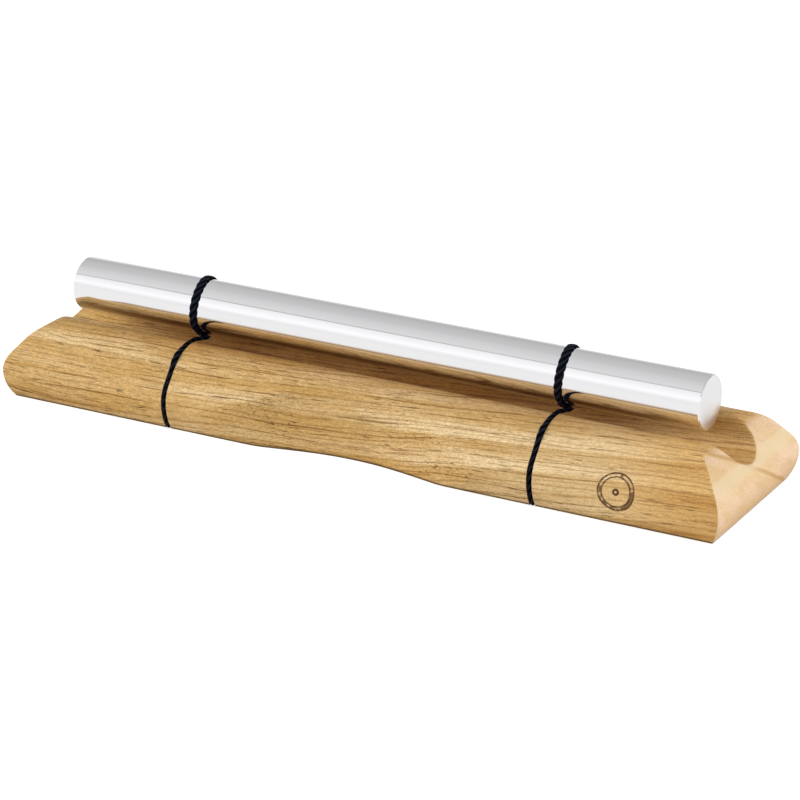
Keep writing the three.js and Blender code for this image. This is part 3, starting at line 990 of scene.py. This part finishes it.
class CHIME_OT_rod(bpy.types.Operator):
    """Makes the polished metal rod with its turned ends."""

    bl_idname = "chime.rod"
    bl_label = "Make rod"

    def execute(self, context):
        settings = context.scene.chime_rod
        low, high = node_box("chime_bar")
        centre_y, centre_z = (low[1:] + high[1:]) / 2
        radius = (high[1] - low[1]) / 2
        chamfer = settings.chamfer / MM
        soft = chamfer * CHAMFER_EASE
        near = soft * EASE_BETWEEN
        half = high[0]
        face = [(half, 0.0), (half, radius * 0.5), (half, radius - chamfer - soft)]
        edge = [
            (half - near, radius - chamfer + near),
            (half - chamfer + near, radius - near),
            (half - chamfer - soft, radius),
        ]
        last = half - chamfer - soft
        belt = [(x, radius) for x in np.linspace(last, -last, ROD_RINGS)[1:-1]]
        outline = face + edge + belt + [(-x, r) for x, r in (face + edge)[::-1]]
        turn = np.linspace(0, 2 * math.pi, ROD_SIDES + 1)
        x, r = (np.repeat([[point[i]] for point in outline], len(turn), axis=1) for i in (0, 1))
        patches = Patches()
        patches.grid(x, centre_y + r * np.cos(turn), centre_z + r * np.sin(turn), flip=True)
        rod = patches.build("polished_rod")
        shade_smooth(rod, ROD_SHARP_DEGREES)
        rod.data.materials.append(polished_aluminium(settings))
        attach(rod, "bar")
        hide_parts("chime_bar")
        return {"FINISHED"}


# Cords

# Shares of the cord's diameter: how far each strand's middle is out, and its radius
STRAND_OFFSET = 0.23
STRAND_RADIUS = 0.27
STRAND_SIDES = 14

# Filaments round each strand, and how far along the cord they take to turn once
FILAMENTS = 8
FILAMENT_TURN_MM = 2.4

# Size of the fuzz, and where the painted highlight on a crown starts and is full, as shares of the
# cord's diameter
FUZZ_MM = 0.3
CROWN_SHARES = (0.44, 0.5)

# Thickness of the knot's cord, pulled tight, its middle's height, the width of such a knot
# where its wave is 1 high, and where the cord leaves it, as a share of its width
KNOT_CORD_MM = 1.6
KNOT_MIDDLE_MM = 2.6
KNOT_WAVE_WIDTH = 6.4
KNOT_EXIT = 0.3

# Spacing of the route's points in the kerf, and their number round the rod, in a lead to it,
# in a span, between two stops of a curve, and in the knot
KERF_STEP_MM = 0.4
TURN_STEPS = 121
LEAD_STEPS = 5
SPAN_STEPS = 40
CURVE_STEPS = 40
KNOT_STEPS = 121

# Shares of the block's height where the cord comes out of the kerf, and where it is drawn
# tight over the crest. It sinks there by this share of how far it stood proud
OUT_OF_KERF = (0.68, 0.9)
ON_CREST = (0.9, 0.985)
CREST_SINK = 1.2

# The turn round the rod: straight leads at both ends, how far it leans to and fro, and how
# much wider it is at its top
LEAD_MM = 1.2
TURN_LEAN_MM = 0.35
TURN_FULLNESS = 0.14

# The front span dips under the turn's far end: how far below the trough's mouth it is there
# and at its lowest, and where that lies behind the mouth and to its right
DIP_AT_MOUTH_MM = 0.1
DIP_MM = 0.4
DIP_WAY_MM = 3.8
DIP_SIDE_MM = 1.6

# Where the cord turns under the block's edge it fills the kerf's mouth: points on its way
# there, the points past it over which its outer side turns from down to out, how much wider
# it is, the share of that to the right, and how far it bulges
FOOT_STEPS = 29
FOOT_TURN = (-1, 6)
FOOT_SPREAD_MM = 0.8
FOOT_ASIDE = 0.4
FOOT_BULGE_MM = 0.6
FOOT_BULGE_LENGTH_MM = 1.8


class CordRoute:
    """The way of one cord in millimetres: points, the two directions across it, how it is
    squeezed along each, its twist, and how far along it each point lies."""

    def __init__(self, cord, shape, x):
        self.cord = sizes_in_mm(cord)
        self.shape = shape
        self.x = x
        low, high = node_box("chime_bar")
        self.rod_y, self.rod_z = (low[1:] + high[1:]) / 2
        self.rod_radius = (high[1] - low[1]) / 2
        self.travelled = 0.0

    def section(self, points, outward, width, thickness):
        """One stretch with its frame, its twist going on from the stretch before."""
        points = np.asarray(points, float)
        outward = np.broadcast_to(np.asarray(outward, float), points.shape)
        ahead = np.gradient(points, axis=0)
        ahead /= np.linalg.norm(ahead, axis=1, keepdims=True)
        across = np.cross(ahead, outward)
        across /= np.linalg.norm(across, axis=1, keepdims=True)
        outward = np.cross(across, ahead)
        along = self.travelled + way_along(points)
        self.travelled = along[-1]
        return {
            "points": points,
            "across": across,
            "outward": outward,
            "along": along,
            "phase": -2 * math.pi * along / self.cord["lay"],
            "squeeze_across": np.broadcast_to(width, len(points)) / self.cord["diameter"],
            "squeeze_outward": np.broadcast_to(thickness, len(points)) / self.cord["diameter"],
        }

    def kerf_line(self):
        """From under the block up to the crest: distance out, height, normal, and how far the
        cord has come up out of the kerf. It lies deep, and stands proud over the shoulder."""
        deep_sink = self.shape.kerf_depth - self.cord["clearance"] - self.cord["in_kerf"] / 2
        deep = self.shape.profile(deep_sink, deep_sink, 0.0, step=KERF_STEP_MM)
        up = -self.cord["proud"]
        proud = self.shape.profile(up, up, 0.0, step=KERF_STEP_MM)
        rise = smooth_share(proud[:, 1] / self.shape.height, *OUT_OF_KERF)
        line = deep + (proud - deep) * rise[:, None]
        neck = self.neck(line[:, 1])
        line[:, :2] -= line[:, 2:] * (neck * self.cord["proud"] * CREST_SINK)[:, None]
        line[:, 0] = self.shape.half_width - line[:, 0]
        inner = np.linspace(self.cord["knot_width"] * KNOT_EXIT, line[0, 0], FOOT_STEPS + 1)[:-1]
        level = np.ones(FOOT_STEPS)
        foot = np.stack([inner, level * line[0, 1], level * 0, -level], axis=1)
        turn = smooth_share(np.arange(len(line)), *FOOT_TURN)[:, None]
        line[:, 2:] = line[:, 2:] * turn + np.array([0, -1]) * (1 - turn)
        way = np.vstack([foot, line])
        reached = way_along(way[:, :2])
        from_foot = (reached - reached[FOOT_STEPS]) / FOOT_BULGE_LENGTH_MM
        way[:, 0] += FOOT_BULGE_MM * np.exp(-(from_foot**2))
        return way, np.concatenate([level * 0, rise])

    def neck(self, height):
        """1 on the crest, where the cord is pulled tight, and 0 below the shoulder."""
        return smooth_share(height / self.shape.height, *ON_CREST)

    def kerf_section(self, rise, neck):
        """Width and thickness: squeezed in the kerf, fuller on the shoulder, thin on the crest."""
        narrow = self.shape.kerf_width - 2 * self.cord["kerf_play"]
        width = narrow + (self.cord["on_shoulder"] - narrow) * rise
        tight = self.cord["on_crest"]
        thickness = self.cord["in_kerf"]
        return width + (tight - width) * neck, thickness + (tight - thickness) * neck

    def run(self, side):
        """The stretch in the kerf on one side, -1 in front and 1 behind."""
        line, rise = self.kerf_line()
        from_foot = np.linalg.norm(line[:, :2] - line[FOOT_STEPS, :2], axis=1)
        spread = FOOT_SPREAD_MM * np.exp(-((from_foot / FOOT_BULGE_LENGTH_MM) ** 2))
        if side > 0:
            line, rise, spread = line[::-1], rise[::-1], spread[::-1]
        points = np.stack([np.full(len(line), self.x), side * line[:, 0], line[:, 1]], axis=1)
        points[:, 0] += spread * FOOT_ASIDE
        inward = np.stack([np.zeros(len(line)), -side * line[:, 2], -line[:, 3]], axis=1)
        width, thickness = self.kerf_section(rise, self.neck(line[:, 1]))
        return self.section(points, inward, width + spread, thickness)

    def turn_points(self):
        """The turn round the rod, with a straight lead at both ends."""
        radius = self.rod_radius + self.cord["on_rod_gap"] + self.cord["on_rod"] / 2
        share = np.linspace(0, 1, TURN_STEPS)
        angle = 2 * math.pi * share
        pitch = self.cord["diameter"] + self.cord["loop_gap"]
        sway = self.cord["loop_sway"] * (1 - np.cos(angle)) / 2
        lean = TURN_LEAN_MM * np.sin(4 * math.pi * (0.75 - share))
        x = self.x - self.cord["loop_backset"] + pitch * share + sway + lean
        y = self.rod_y + radius * np.sin(angle)
        z = self.rod_z - radius * np.cos(angle)
        points = np.stack([x, y, z], axis=1)
        outward = np.stack([0 * angle, np.sin(angle), -np.cos(angle)], axis=1)
        slope = pitch / (2 * math.pi * radius)
        lead = np.array([slope, 1, 0]) / math.hypot(slope, 1) * LEAD_MM
        way = np.linspace(0, 1, LEAD_STEPS)[1:, None]
        before = points[0] - lead * way[::-1]
        after = points[-1] + lead * way
        down = np.tile([0, 0, -1.0], (len(way), 1))
        return np.vstack([before, points, after]), np.vstack([down, outward, down]), lead

    def loop(self):
        """The turn with its leads, pressed flat on the rod and widest at its top."""
        points, outward, _ = self.turn_points()
        width = self.cord["spread_on_rod"] * (1 + TURN_FULLNESS * (1 + outward[:, 2]) / 2)
        return self.section(points, outward, width, self.cord["on_rod"])

    def span(self, side):
        """From the crest to the turn's start in front, or from its end to the crest behind. In
        front it crosses under the turn's far end, so the cord dips there."""
        turn, _, lead = self.turn_points()
        line, _ = self.kerf_line()
        crest = np.array([self.x, side * line[-1, 0], line[-1, 1]])
        mouth = np.array([self.x, side * self.shape.trough_radius, line[-1, 1]])
        end = turn[0] if side < 0 else turn[-1]
        stops = [crest, mouth, end + side * lead, end]
        if side < 0:
            mouth[2] -= DIP_AT_MOUTH_MM
            under = mouth + np.array([DIP_SIDE_MM, DIP_WAY_MM, -DIP_MM])
            halfway = (under + end) / 2 - np.array([0, 0, DIP_AT_MOUTH_MM])
            stops = [crest, mouth, under, halfway, end]
        fine = smooth_curve(np.array(stops), SPAN_STEPS)
        share = smooth_share((mouth[1] - fine[:, 1]) / (mouth[1] - end[1]), 0, 1)
        width, thickness = self.kerf_section(1.0, 1.0)
        width = width + (self.cord["spread_on_rod"] - width) * share
        thickness = thickness + (self.cord["on_rod"] - thickness) * share
        if side > 0:
            fine, width, thickness = fine[::-1], width[::-1], thickness[::-1]
        return self.section(fine, (0, 0, -1), width, thickness)

    def knot(self):
        """A tight overhand knot in the pocket, as a trefoil."""
        t = np.linspace(0, 2 * math.pi, KNOT_STEPS)
        wide = self.cord["knot_width"] / KNOT_WAVE_WIDTH
        x = self.x + wide * (np.sin(t) + 2 * np.sin(2 * t))
        y = wide * (np.cos(t) - 2 * np.cos(2 * t))
        z = KNOT_MIDDLE_MM - self.cord["knot_height"] / 2 * np.sin(3 * t)
        points = np.stack([x, y, z], axis=1)
        return self.section(points, (0, 0, -1), KNOT_CORD_MM, KNOT_CORD_MM)


def smooth_curve(stops, count):
    """A Catmull-Rom curve through the stops, as evenly spaced points."""
    before = 2 * stops[0] - stops[1]
    after = 2 * stops[-1] - stops[-2]
    all_stops = np.vstack([before, stops, after])
    dense = []
    for a, b, c, d in zip(all_stops, all_stops[1:], all_stops[2:], all_stops[3:]):
        t = np.linspace(0, 1, CURVE_STEPS, endpoint=False)[:, None]
        bend = (2 * a - 5 * b + 4 * c - d) * t**2 + (3 * b - a - 3 * c + d) * t**3
        dense.append(0.5 * (2 * b + (c - a) * t + bend))
    dense = np.vstack([*dense, stops[-1:]])
    along = way_along(dense)
    even = np.linspace(0, along[-1], count)
    return np.stack([np.interp(even, along, dense[:, i]) for i in range(3)], axis=1)


CORD_INPUTS = {
    "Route": "NodeSocketGeometry",
    "Diameter": "NodeSocketFloat",
    "Strands": "NodeSocketInt",
    "Strand Sides": "NodeSocketInt",
    "Finish": "NodeSocketMaterial",
}

# What the route's points carry: vectors and numbers
ROUTE_VECTORS = ("across", "outward", "middle")
ROUTE_NUMBERS = ("phase", "along", "squeeze_across", "squeeze_outward")


def laid_cord_nodes():
    """Geometry Nodes that lay strands round each other along a route, as a round cord, and
    then squeeze it. The route's points carry its directions, twist and squeeze."""
    tree = bpy.data.node_groups.new("laid_cord", "GeometryNodeTree")
    for name, kind in CORD_INPUTS.items():
        tree.interface.new_socket(name, in_out="INPUT", socket_type=kind)
    tree.interface.new_socket("Cord", in_out="OUTPUT", socket_type="NodeSocketGeometry")
    add = partial(add_node, tree)
    given = add("NodeGroupInput").outputs
    stored = {}
    for kind, names in (("FLOAT_VECTOR", ROUTE_VECTORS), ("FLOAT", ROUTE_NUMBERS)):
        for name in names:
            stored[name] = add("GeometryNodeInputNamedAttribute", name, data_type=kind)

    # The strands' middle lines, spread evenly round the route and twisted along it
    line = add("GeometryNodeMeshToCurve", {"Mesh": given["Route"]})
    amounts = {"Geometry": line, "Amount": given["Strands"]}
    copies = add("GeometryNodeDuplicateElements", amounts, domain="SPLINE")
    index = copies.outputs["Duplicate Index"]
    share = add(MATH, index, given["Strands"], operation="DIVIDE")
    angle = add(MATH, share, 2 * math.pi, stored["phase"], operation="MULTIPLY_ADD")
    offset = add(MATH, given["Diameter"], STRAND_OFFSET, operation="MULTIPLY")
    shifts = []
    for direction, swing in (("across", "COSINE"), ("outward", "SINE")):
        reach = add(MATH, angle, operation=swing)
        reach = add(MATH, offset, reach, operation="MULTIPLY")
        shifts.append(add(VECTOR, stored[direction], reach, operation="SCALE"))
    shift = add(VECTOR, *shifts, operation="ADD")
    twisted = add("GeometryNodeSetPosition", {"Geometry": copies, "Offset": shift})

    # The strands' skins. Each point keeps its place round its strand
    sides = {"Resolution": given["Strand Sides"], "Radius": 1.0}
    ring = add("GeometryNodeCurvePrimitiveCircle", sides, mode="RADIUS")
    section = {"Geometry": ring, "Name": "section", "Value": add("GeometryNodeInputPosition")}
    ring = add("GeometryNodeStoreNamedAttribute", section, data_type="FLOAT_VECTOR")
    radius = add(MATH, given["Diameter"], STRAND_RADIUS, operation="MULTIPLY")
    tube = {"Curve": twisted, "Profile Curve": ring, "Scale": radius, "Fill Caps": True}
    tube = add("GeometryNodeCurveToMesh", tube)

    # How far out each point lies, which tells crowns from grooves
    point = add("GeometryNodeInputPosition")
    out = add(VECTOR, point, stored["middle"], operation="SUBTRACT")
    crown = add(VECTOR, out, operation="LENGTH")
    crown = add(MATH, crown, given["Diameter"], operation="DIVIDE")
    crown = {"Geometry": tube, "Name": "crown", "Value": crown}
    crowned = add("GeometryNodeStoreNamedAttribute", crown, data_type="FLOAT")

    # Squeezed along both directions, about the route's own middle line
    pushes = []
    for direction in ("across", "outward"):
        reach = add(VECTOR, out, stored[direction], operation="DOT_PRODUCT")
        change = add(MATH, stored[f"squeeze_{direction}"], 1.0, operation="SUBTRACT")
        push = add(MATH, reach, change, operation="MULTIPLY")
        pushes.append(add(VECTOR, stored[direction], push, operation="SCALE"))
    push = add(VECTOR, *pushes, operation="ADD")
    squeezed = add("GeometryNodeSetPosition", {"Geometry": crowned, "Offset": push})
    smooth = add("GeometryNodeSetShadeSmooth", {"Geometry": squeezed})
    real = add("GeometryNodeRealizeInstances", {"Geometry": smooth})
    cord = add("GeometryNodeSetMaterial", {"Geometry": real, "Material": given["Finish"]})
    add("NodeGroupOutput", {"Cord": cord})
    return tree


def laid_cord(name, stretches, tree, settings, finish):
    """A piece of cord as a mesh, from one or more stretches of a route."""
    points = np.vstack([stretch["points"] for stretch in stretches])
    stops = set(np.cumsum([len(stretch["points"]) for stretch in stretches]))
    edges = [(i, i + 1) for i in range(len(points) - 1) if i + 1 not in stops]
    mesh = bpy.data.meshes.new(name)
    mesh.from_pydata((points * MM).tolist(), edges, [])
    for key in (*ROUTE_VECTORS, *ROUTE_NUMBERS):
        kind, field = ("FLOAT_VECTOR", "vector") if key in ROUTE_VECTORS else ("FLOAT", "value")
        if key == "middle":
            values = points * MM
        else:
            values = np.concatenate([stretch[key] for stretch in stretches])
        layer = mesh.attributes.new(key, kind, "POINT")
        layer.data.foreach_set(field, values.astype(np.float32).ravel())
    piece = bpy.data.objects.new(name, mesh)
    bpy.context.scene.collection.objects.link(piece)
    modifier = piece.modifiers.new("laid", "NODES")
    modifier.node_group = tree
    inputs = {item.name: item.identifier for item in tree.interface.items_tree}
    modifier[inputs["Diameter"]] = settings.diameter
    modifier[inputs["Strands"]] = settings.strands
    modifier[inputs["Strand Sides"]] = STRAND_SIDES
    modifier[inputs["Finish"]] = finish
    return applied(piece)


def black_cord(settings):
    """Laid polyester cord, dyed black, with fine filaments and a slightly blue highlight painted on
    the strands' crowns.
    """
    material, add = new_material("black_laid_cord")
    place = add(PLACE).outputs["Object"]
    fine = add(NOISE, place, 1 / (FUZZ_MM * MM), 3.0)

    # Filaments wind round each strand: drawn coarser than the real ones, so that they show
    section = add(READ, attribute_name="section").outputs["Vector"]
    section = add(SPLIT, section).outputs
    angle = add(MATH, section["Y"], section["X"], operation="ARCTAN2")
    along = add(READ, attribute_name="along").outputs["Fac"]
    winding = 2 * math.pi * FILAMENTS / FILAMENT_TURN_MM
    along = add(MATH, along, winding, operation="MULTIPLY")
    stripes = add(MATH, angle, FILAMENTS, along, operation="MULTIPLY_ADD")
    stripes = add(MATH, stripes, operation="SINE")
    fuzz = add(MATH, stripes, 0.25, fine, operation="MULTIPLY_ADD", use_clamp=True)

    # Painted highlight: the strands' crowns are painted lighter, and the grooves between them keep
    # the black dye
    crown = add(READ, attribute_name="crown").outputs["Fac"]
    crown = add(RANGE, crown, *CROWN_SHARES, **SMOOTH)
    light = add(MATH, crown, fuzz, operation="MULTIPLY")
    dye_and_highlight = [(*dye, 1.0) for dye in (settings.dye, settings.dye_light)]
    finish = {
        "Base Color": add(MIX, light, *dye_and_highlight, **COLOURS),
        "Roughness": 0.5,
        "Specular IOR Level": 0.04,
        "Normal": add(BUMP, {"Height": fuzz, "Strength": 0.5, "Distance": 0.05 * MM}),
    }
    add(OUTPUT, add(SURFACE, finish))
    return material


class CHIME_OT_cords(bpy.types.Operator):
    """Makes both cords: in their kerfs, over to the rod, round it, and the knots."""

    bl_idname = "chime.cords"
    bl_label = "Make cords"

    def execute(self, context):
        settings = context.scene.chime_cord
        shape = BlockShape(context.scene.chime_block)
        tree = laid_cord_nodes()
        finish = black_cord(settings)
        for name, x in (("left", -shape.kerf_place), ("right", shape.kerf_place)):
            route = CordRoute(settings, shape, x)
            front_run = route.run(-1)
            front_span = route.span(-1)
            loop = route.loop()
            rear_span = route.span(1)
            rear_run = route.run(1)
            kinds = {
                "kerf_strands": [front_run, rear_run, route.knot()],
                "front_strands": [front_span],
                "loop_strands": [loop],
                "rear_strands": [rear_span],
            }
            pieces = {
                kind: laid_cord(f"{name}_{kind}", parts, tree, settings, finish)
                for kind, parts in kinds.items()
            }
            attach(pieces["kerf_strands"], "base")
            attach(pieces["loop_strands"], "sling")
            for place, span, outer, inner in (
                ("front", front_span["points"], 0, -1),
                ("rear", rear_span["points"], -1, 0),
            ):
                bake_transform(pieces[f"{place}_strands"])
                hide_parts(f"{name}_cord_{place}_span")
            in_kerf = [f"{name}_cord_{place}" for place in ("front_run", "rear_run", "knot")]
            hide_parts(*in_kerf)
            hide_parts(f"{name}_cord_loop")
        return {"FINISHED"}


# Stage

CAMERA_PLACE_MM = (436.46, -788.97, 367.97)
CAMERA_TURN_DEGREES = 28.748
CAMERA_RISE_DEGREES = 21.585
SENSOR_MM = 36.0
FOCAL_PIXELS = 3347.138
PICTURE_PIXELS = 800

# The floor's glow for the camera, and how far the painted shade and bounce that the metal sees
# beside the block reaches
CAMERA_GLOW = 0.55
PAINTED_SHADE_NEAR_MM = 16.0
PAINTED_SHADE_FAR_MM = 36.0

# How many times sooner the painted shade ends beyond the end faces than beside the long sides
PAINTED_SHADE_END_FADE = 3.0

# Brightness of the studio round the rod, by degrees from straight up towards the front
STUDIO_BANDS = (
    (-180, 1.1),
    (-112, 1.18),
    (-96, 1.12),
    (-80, 0.68),
    (-64, 0.48),
    (-46, 0.545),
    (-14, 0.605),
    (2, 0.68),
    (32, 0.765),
    (34.5, 0.74),
    (35.5, 0.5),
    (37.5, 0.5),
    (38.5, 0.93),
    (54, 1.01),
    (68, 1.09),
    (82, 0.9),
    (110, 0.92),
    (180, 0.95),
)

# Green's share of red and blue there
LILAC_CAST = 0.99

WHITE = (1.0, 1.0, 1.0, 1.0)

# Softboxes: their place, what they point at and their size, in metres
KEY_SOFTBOX = ((-0.95, -1.1, 0.62), (0, 0, 0), (1.0, 0.5))
SIDE_SOFTBOX = ((1.35, 0.45, 0.65), (0.05, 0, 0), (0.7, 0.7))


def studio_world(settings):
    """Soft light all round; the metal sees a cove that is greyer above and behind."""
    world = bpy.data.worlds.new("studio")
    bpy.context.scene.world = world
    world.use_nodes = True
    tree = world.node_tree
    tree.nodes.clear()
    add = partial(add_node, tree)
    place = add(PLACE).outputs["Generated"]
    place = add(SPLIT, place).outputs
    forward = add(MATH, place["Y"], -1.0, operation="MULTIPLY")
    angle = add(MATH, forward, place["Z"], operation="ARCTAN2")
    share = add(RANGE, angle, -math.pi, math.pi)
    ramp = add("ShaderNodeValToRGB", share)
    stops = ramp.color_ramp.elements
    while len(stops) > 1:
        stops.remove(stops[-1])
    for index, (degrees, level) in enumerate(STUDIO_BANDS):
        position = (degrees + 180) / 360
        stop = stops[0] if index == 0 else stops.new(position)
        stop.position = position
        stop.color = (level, level * LILAC_CAST, level, 1.0)
    rays = add("ShaderNodeLightPath").outputs
    mirrored = (rays["Is Glossy Ray"], rays["Is Transmission Ray"])
    mirrored = add(MATH, *mirrored, operation="MAXIMUM")
    soft = add(VECTOR, ramp, settings.soft_light, operation="SCALE")
    lit = add(MIX, mirrored, soft, ramp, **COLOURS)
    shown = add(MIX, rays["Is Camera Ray"], lit, WHITE, **COLOURS)
    add("ShaderNodeOutputWorld", add("ShaderNodeBackground", shown, 1.0))


def floor_paint(settings):
    """Matt pale paint. The camera sees it white, with the object's shadow kept. The metal sees it
    near white too, with a warm painted shade beside the block that stands for the block's shadow
    and the colour it throws on the floor."""
    material, add = new_material("matt_pale_floor")
    paint, cove, warm = (
        (*tone, 1.0) for tone in (settings.floor_paint, settings.cove_tone, settings.warm_floor)
    )
    rays = add("ShaderNodeLightPath").outputs
    mirrored = (rays["Is Glossy Ray"], rays["Is Transmission Ray"])
    mirrored = add(MATH, *mirrored, operation="MAXIMUM")

    # How far a place lies outside the block's outline
    _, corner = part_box("base_block")
    place = add(PLACE).outputs["Object"]
    size = add(VECTOR, place, operation="ABSOLUTE")
    beyond = add(VECTOR, size, (*corner[:2], 0), operation="SUBTRACT")
    beyond = add(VECTOR, beyond, operation="MAXIMUM")
    beyond = add(VECTOR, beyond, (PAINTED_SHADE_END_FADE, 1, 1), operation="MULTIPLY")
    beyond = add(VECTOR, beyond, operation="LENGTH")
    limits = (PAINTED_SHADE_NEAR_MM * MM, PAINTED_SHADE_FAR_MM * MM, 1.0, 0.0)
    beside = add(RANGE, beyond, *limits, **SMOOTH)

    paint = add(MIX, rays["Is Camera Ray"], paint, WHITE, **COLOURS)
    glow = add(MATH, rays["Is Camera Ray"], CAMERA_GLOW, operation="MULTIPLY")
    glow = add("ShaderNodeEmission", WHITE, glow)
    lit = add("ShaderNodeAddShader", add("ShaderNodeBsdfDiffuse", paint), glow)
    # Painted shade and bounce light: beside the block the metal sees a warm, darker tone in place
    # of the floor's own shading
    seen = add(MIX, beside, cove, warm, **COLOURS)
    seen = add("ShaderNodeEmission", seen, 1.0)
    add(OUTPUT, add("ShaderNodeMixShader", mirrored, lit, seen))
    return material


def area_light(name, place, target, size, power):
    """A softbox at a place, turned to a target, that the metal doesn't mirror."""
    light = bpy.data.lights.new(name, "AREA")
    light.shape = "RECTANGLE"
    light.size, light.size_y = size
    light.energy = power
    lamp = bpy.data.objects.new(name, light)
    lamp.location = place
    lamp.rotation_euler = (Vector(target) - Vector(place)).to_track_quat("-Z", "Y").to_euler()
    lamp.visible_glossy = False
    bpy.context.scene.collection.objects.link(lamp)


class CHIME_OT_stage(bpy.types.Operator):
    """Makes the floor, the studio light and the camera."""

    bl_idname = "chime.stage"
    bl_label = "Make stage"

    def execute(self, context):
        settings = context.scene.chime_stage
        scene = context.scene
        scene.view_settings.view_transform = "Standard"
        studio_world(settings)
        half = settings.floor_size / MM / 2
        corners = [(-half, -half, 0), (half, -half, 0), (half, half, 0), (-half, half, 0)]
        floor = mesh_object("pale_floor", corners, [(0, 1, 2, 3)])
        floor.data.materials.append(floor_paint(settings))
        area_light("key_softbox", *KEY_SOFTBOX, settings.key_power)
        area_light("side_softbox", *SIDE_SOFTBOX, settings.side_power)

        turn = math.radians(CAMERA_TURN_DEGREES)
        rise = math.radians(CAMERA_RISE_DEGREES)
        flat = math.cos(rise)
        back = Vector((math.sin(turn) * flat, -math.cos(turn) * flat, math.sin(rise)))
        right = Vector((math.cos(turn), math.sin(turn), 0))
        up = back.cross(right)
        camera = bpy.data.cameras.new("camera")
        camera.sensor_width = SENSOR_MM
        camera.lens = SENSOR_MM * FOCAL_PIXELS / PICTURE_PIXELS
        camera.clip_start = 0.01
        camera.clip_end = 50
        holder = bpy.data.objects.new("camera", camera)
        pose = Matrix((right, up, back)).transposed().to_4x4()
        pose.translation = Vector(CAMERA_PLACE_MM) * MM
        holder.matrix_world = pose
        scene.collection.objects.link(holder)
        scene.camera = holder
        return {"FINISHED"}


class CHIME_PT_panel(bpy.types.Panel):
    """Lists the settings and the pieces in the sidebar."""

    bl_label = "Chime Bar"
    bl_idname = "CHIME_PT_panel"
    bl_space_type = "VIEW_3D"
    bl_region_type = "UI"
    bl_category = "Chime Bar"

    def draw(self, context):
        for operator, group in (
            (CHIME_OT_stage, "chime_stage"),
            (CHIME_OT_block, "chime_block"),
            (CHIME_OT_rod, "chime_rod"),
            (CHIME_OT_cords, "chime_cord"),
        ):
            box = self.layout.box()
            box.operator(operator.bl_idname)
            settings = getattr(context.scene, group)
            for name in settings.__annotations__:
                box.prop(settings, name)


GROUPS = {
    "chime_stage": StageSettings,
    "chime_block": BlockSettings,
    "chime_rod": RodSettings,
    "chime_cord": CordSettings,
}
TOOLS = (CHIME_OT_stage, CHIME_OT_block, CHIME_OT_rod, CHIME_OT_cords, CHIME_PT_panel)


def register():
    for kind in (*GROUPS.values(), *TOOLS):
        bpy.utils.register_class(kind)
    for name, kind in GROUPS.items():
        setattr(bpy.types.Scene, name, bpy.props.PointerProperty(type=kind))


def unregister():
    for name in GROUPS:
        delattr(bpy.types.Scene, name)
    for kind in reversed((*GROUPS.values(), *TOOLS)):
        bpy.utils.unregister_class(kind)


def main():
    """Makes every piece in order."""
    register()
    bpy.ops.chime.stage()
    bpy.ops.chime.block()
    bpy.ops.chime.rod()
    bpy.ops.chime.cords()
    bpy.context.view_layer.update()


if __name__ == "__main__":
    main()
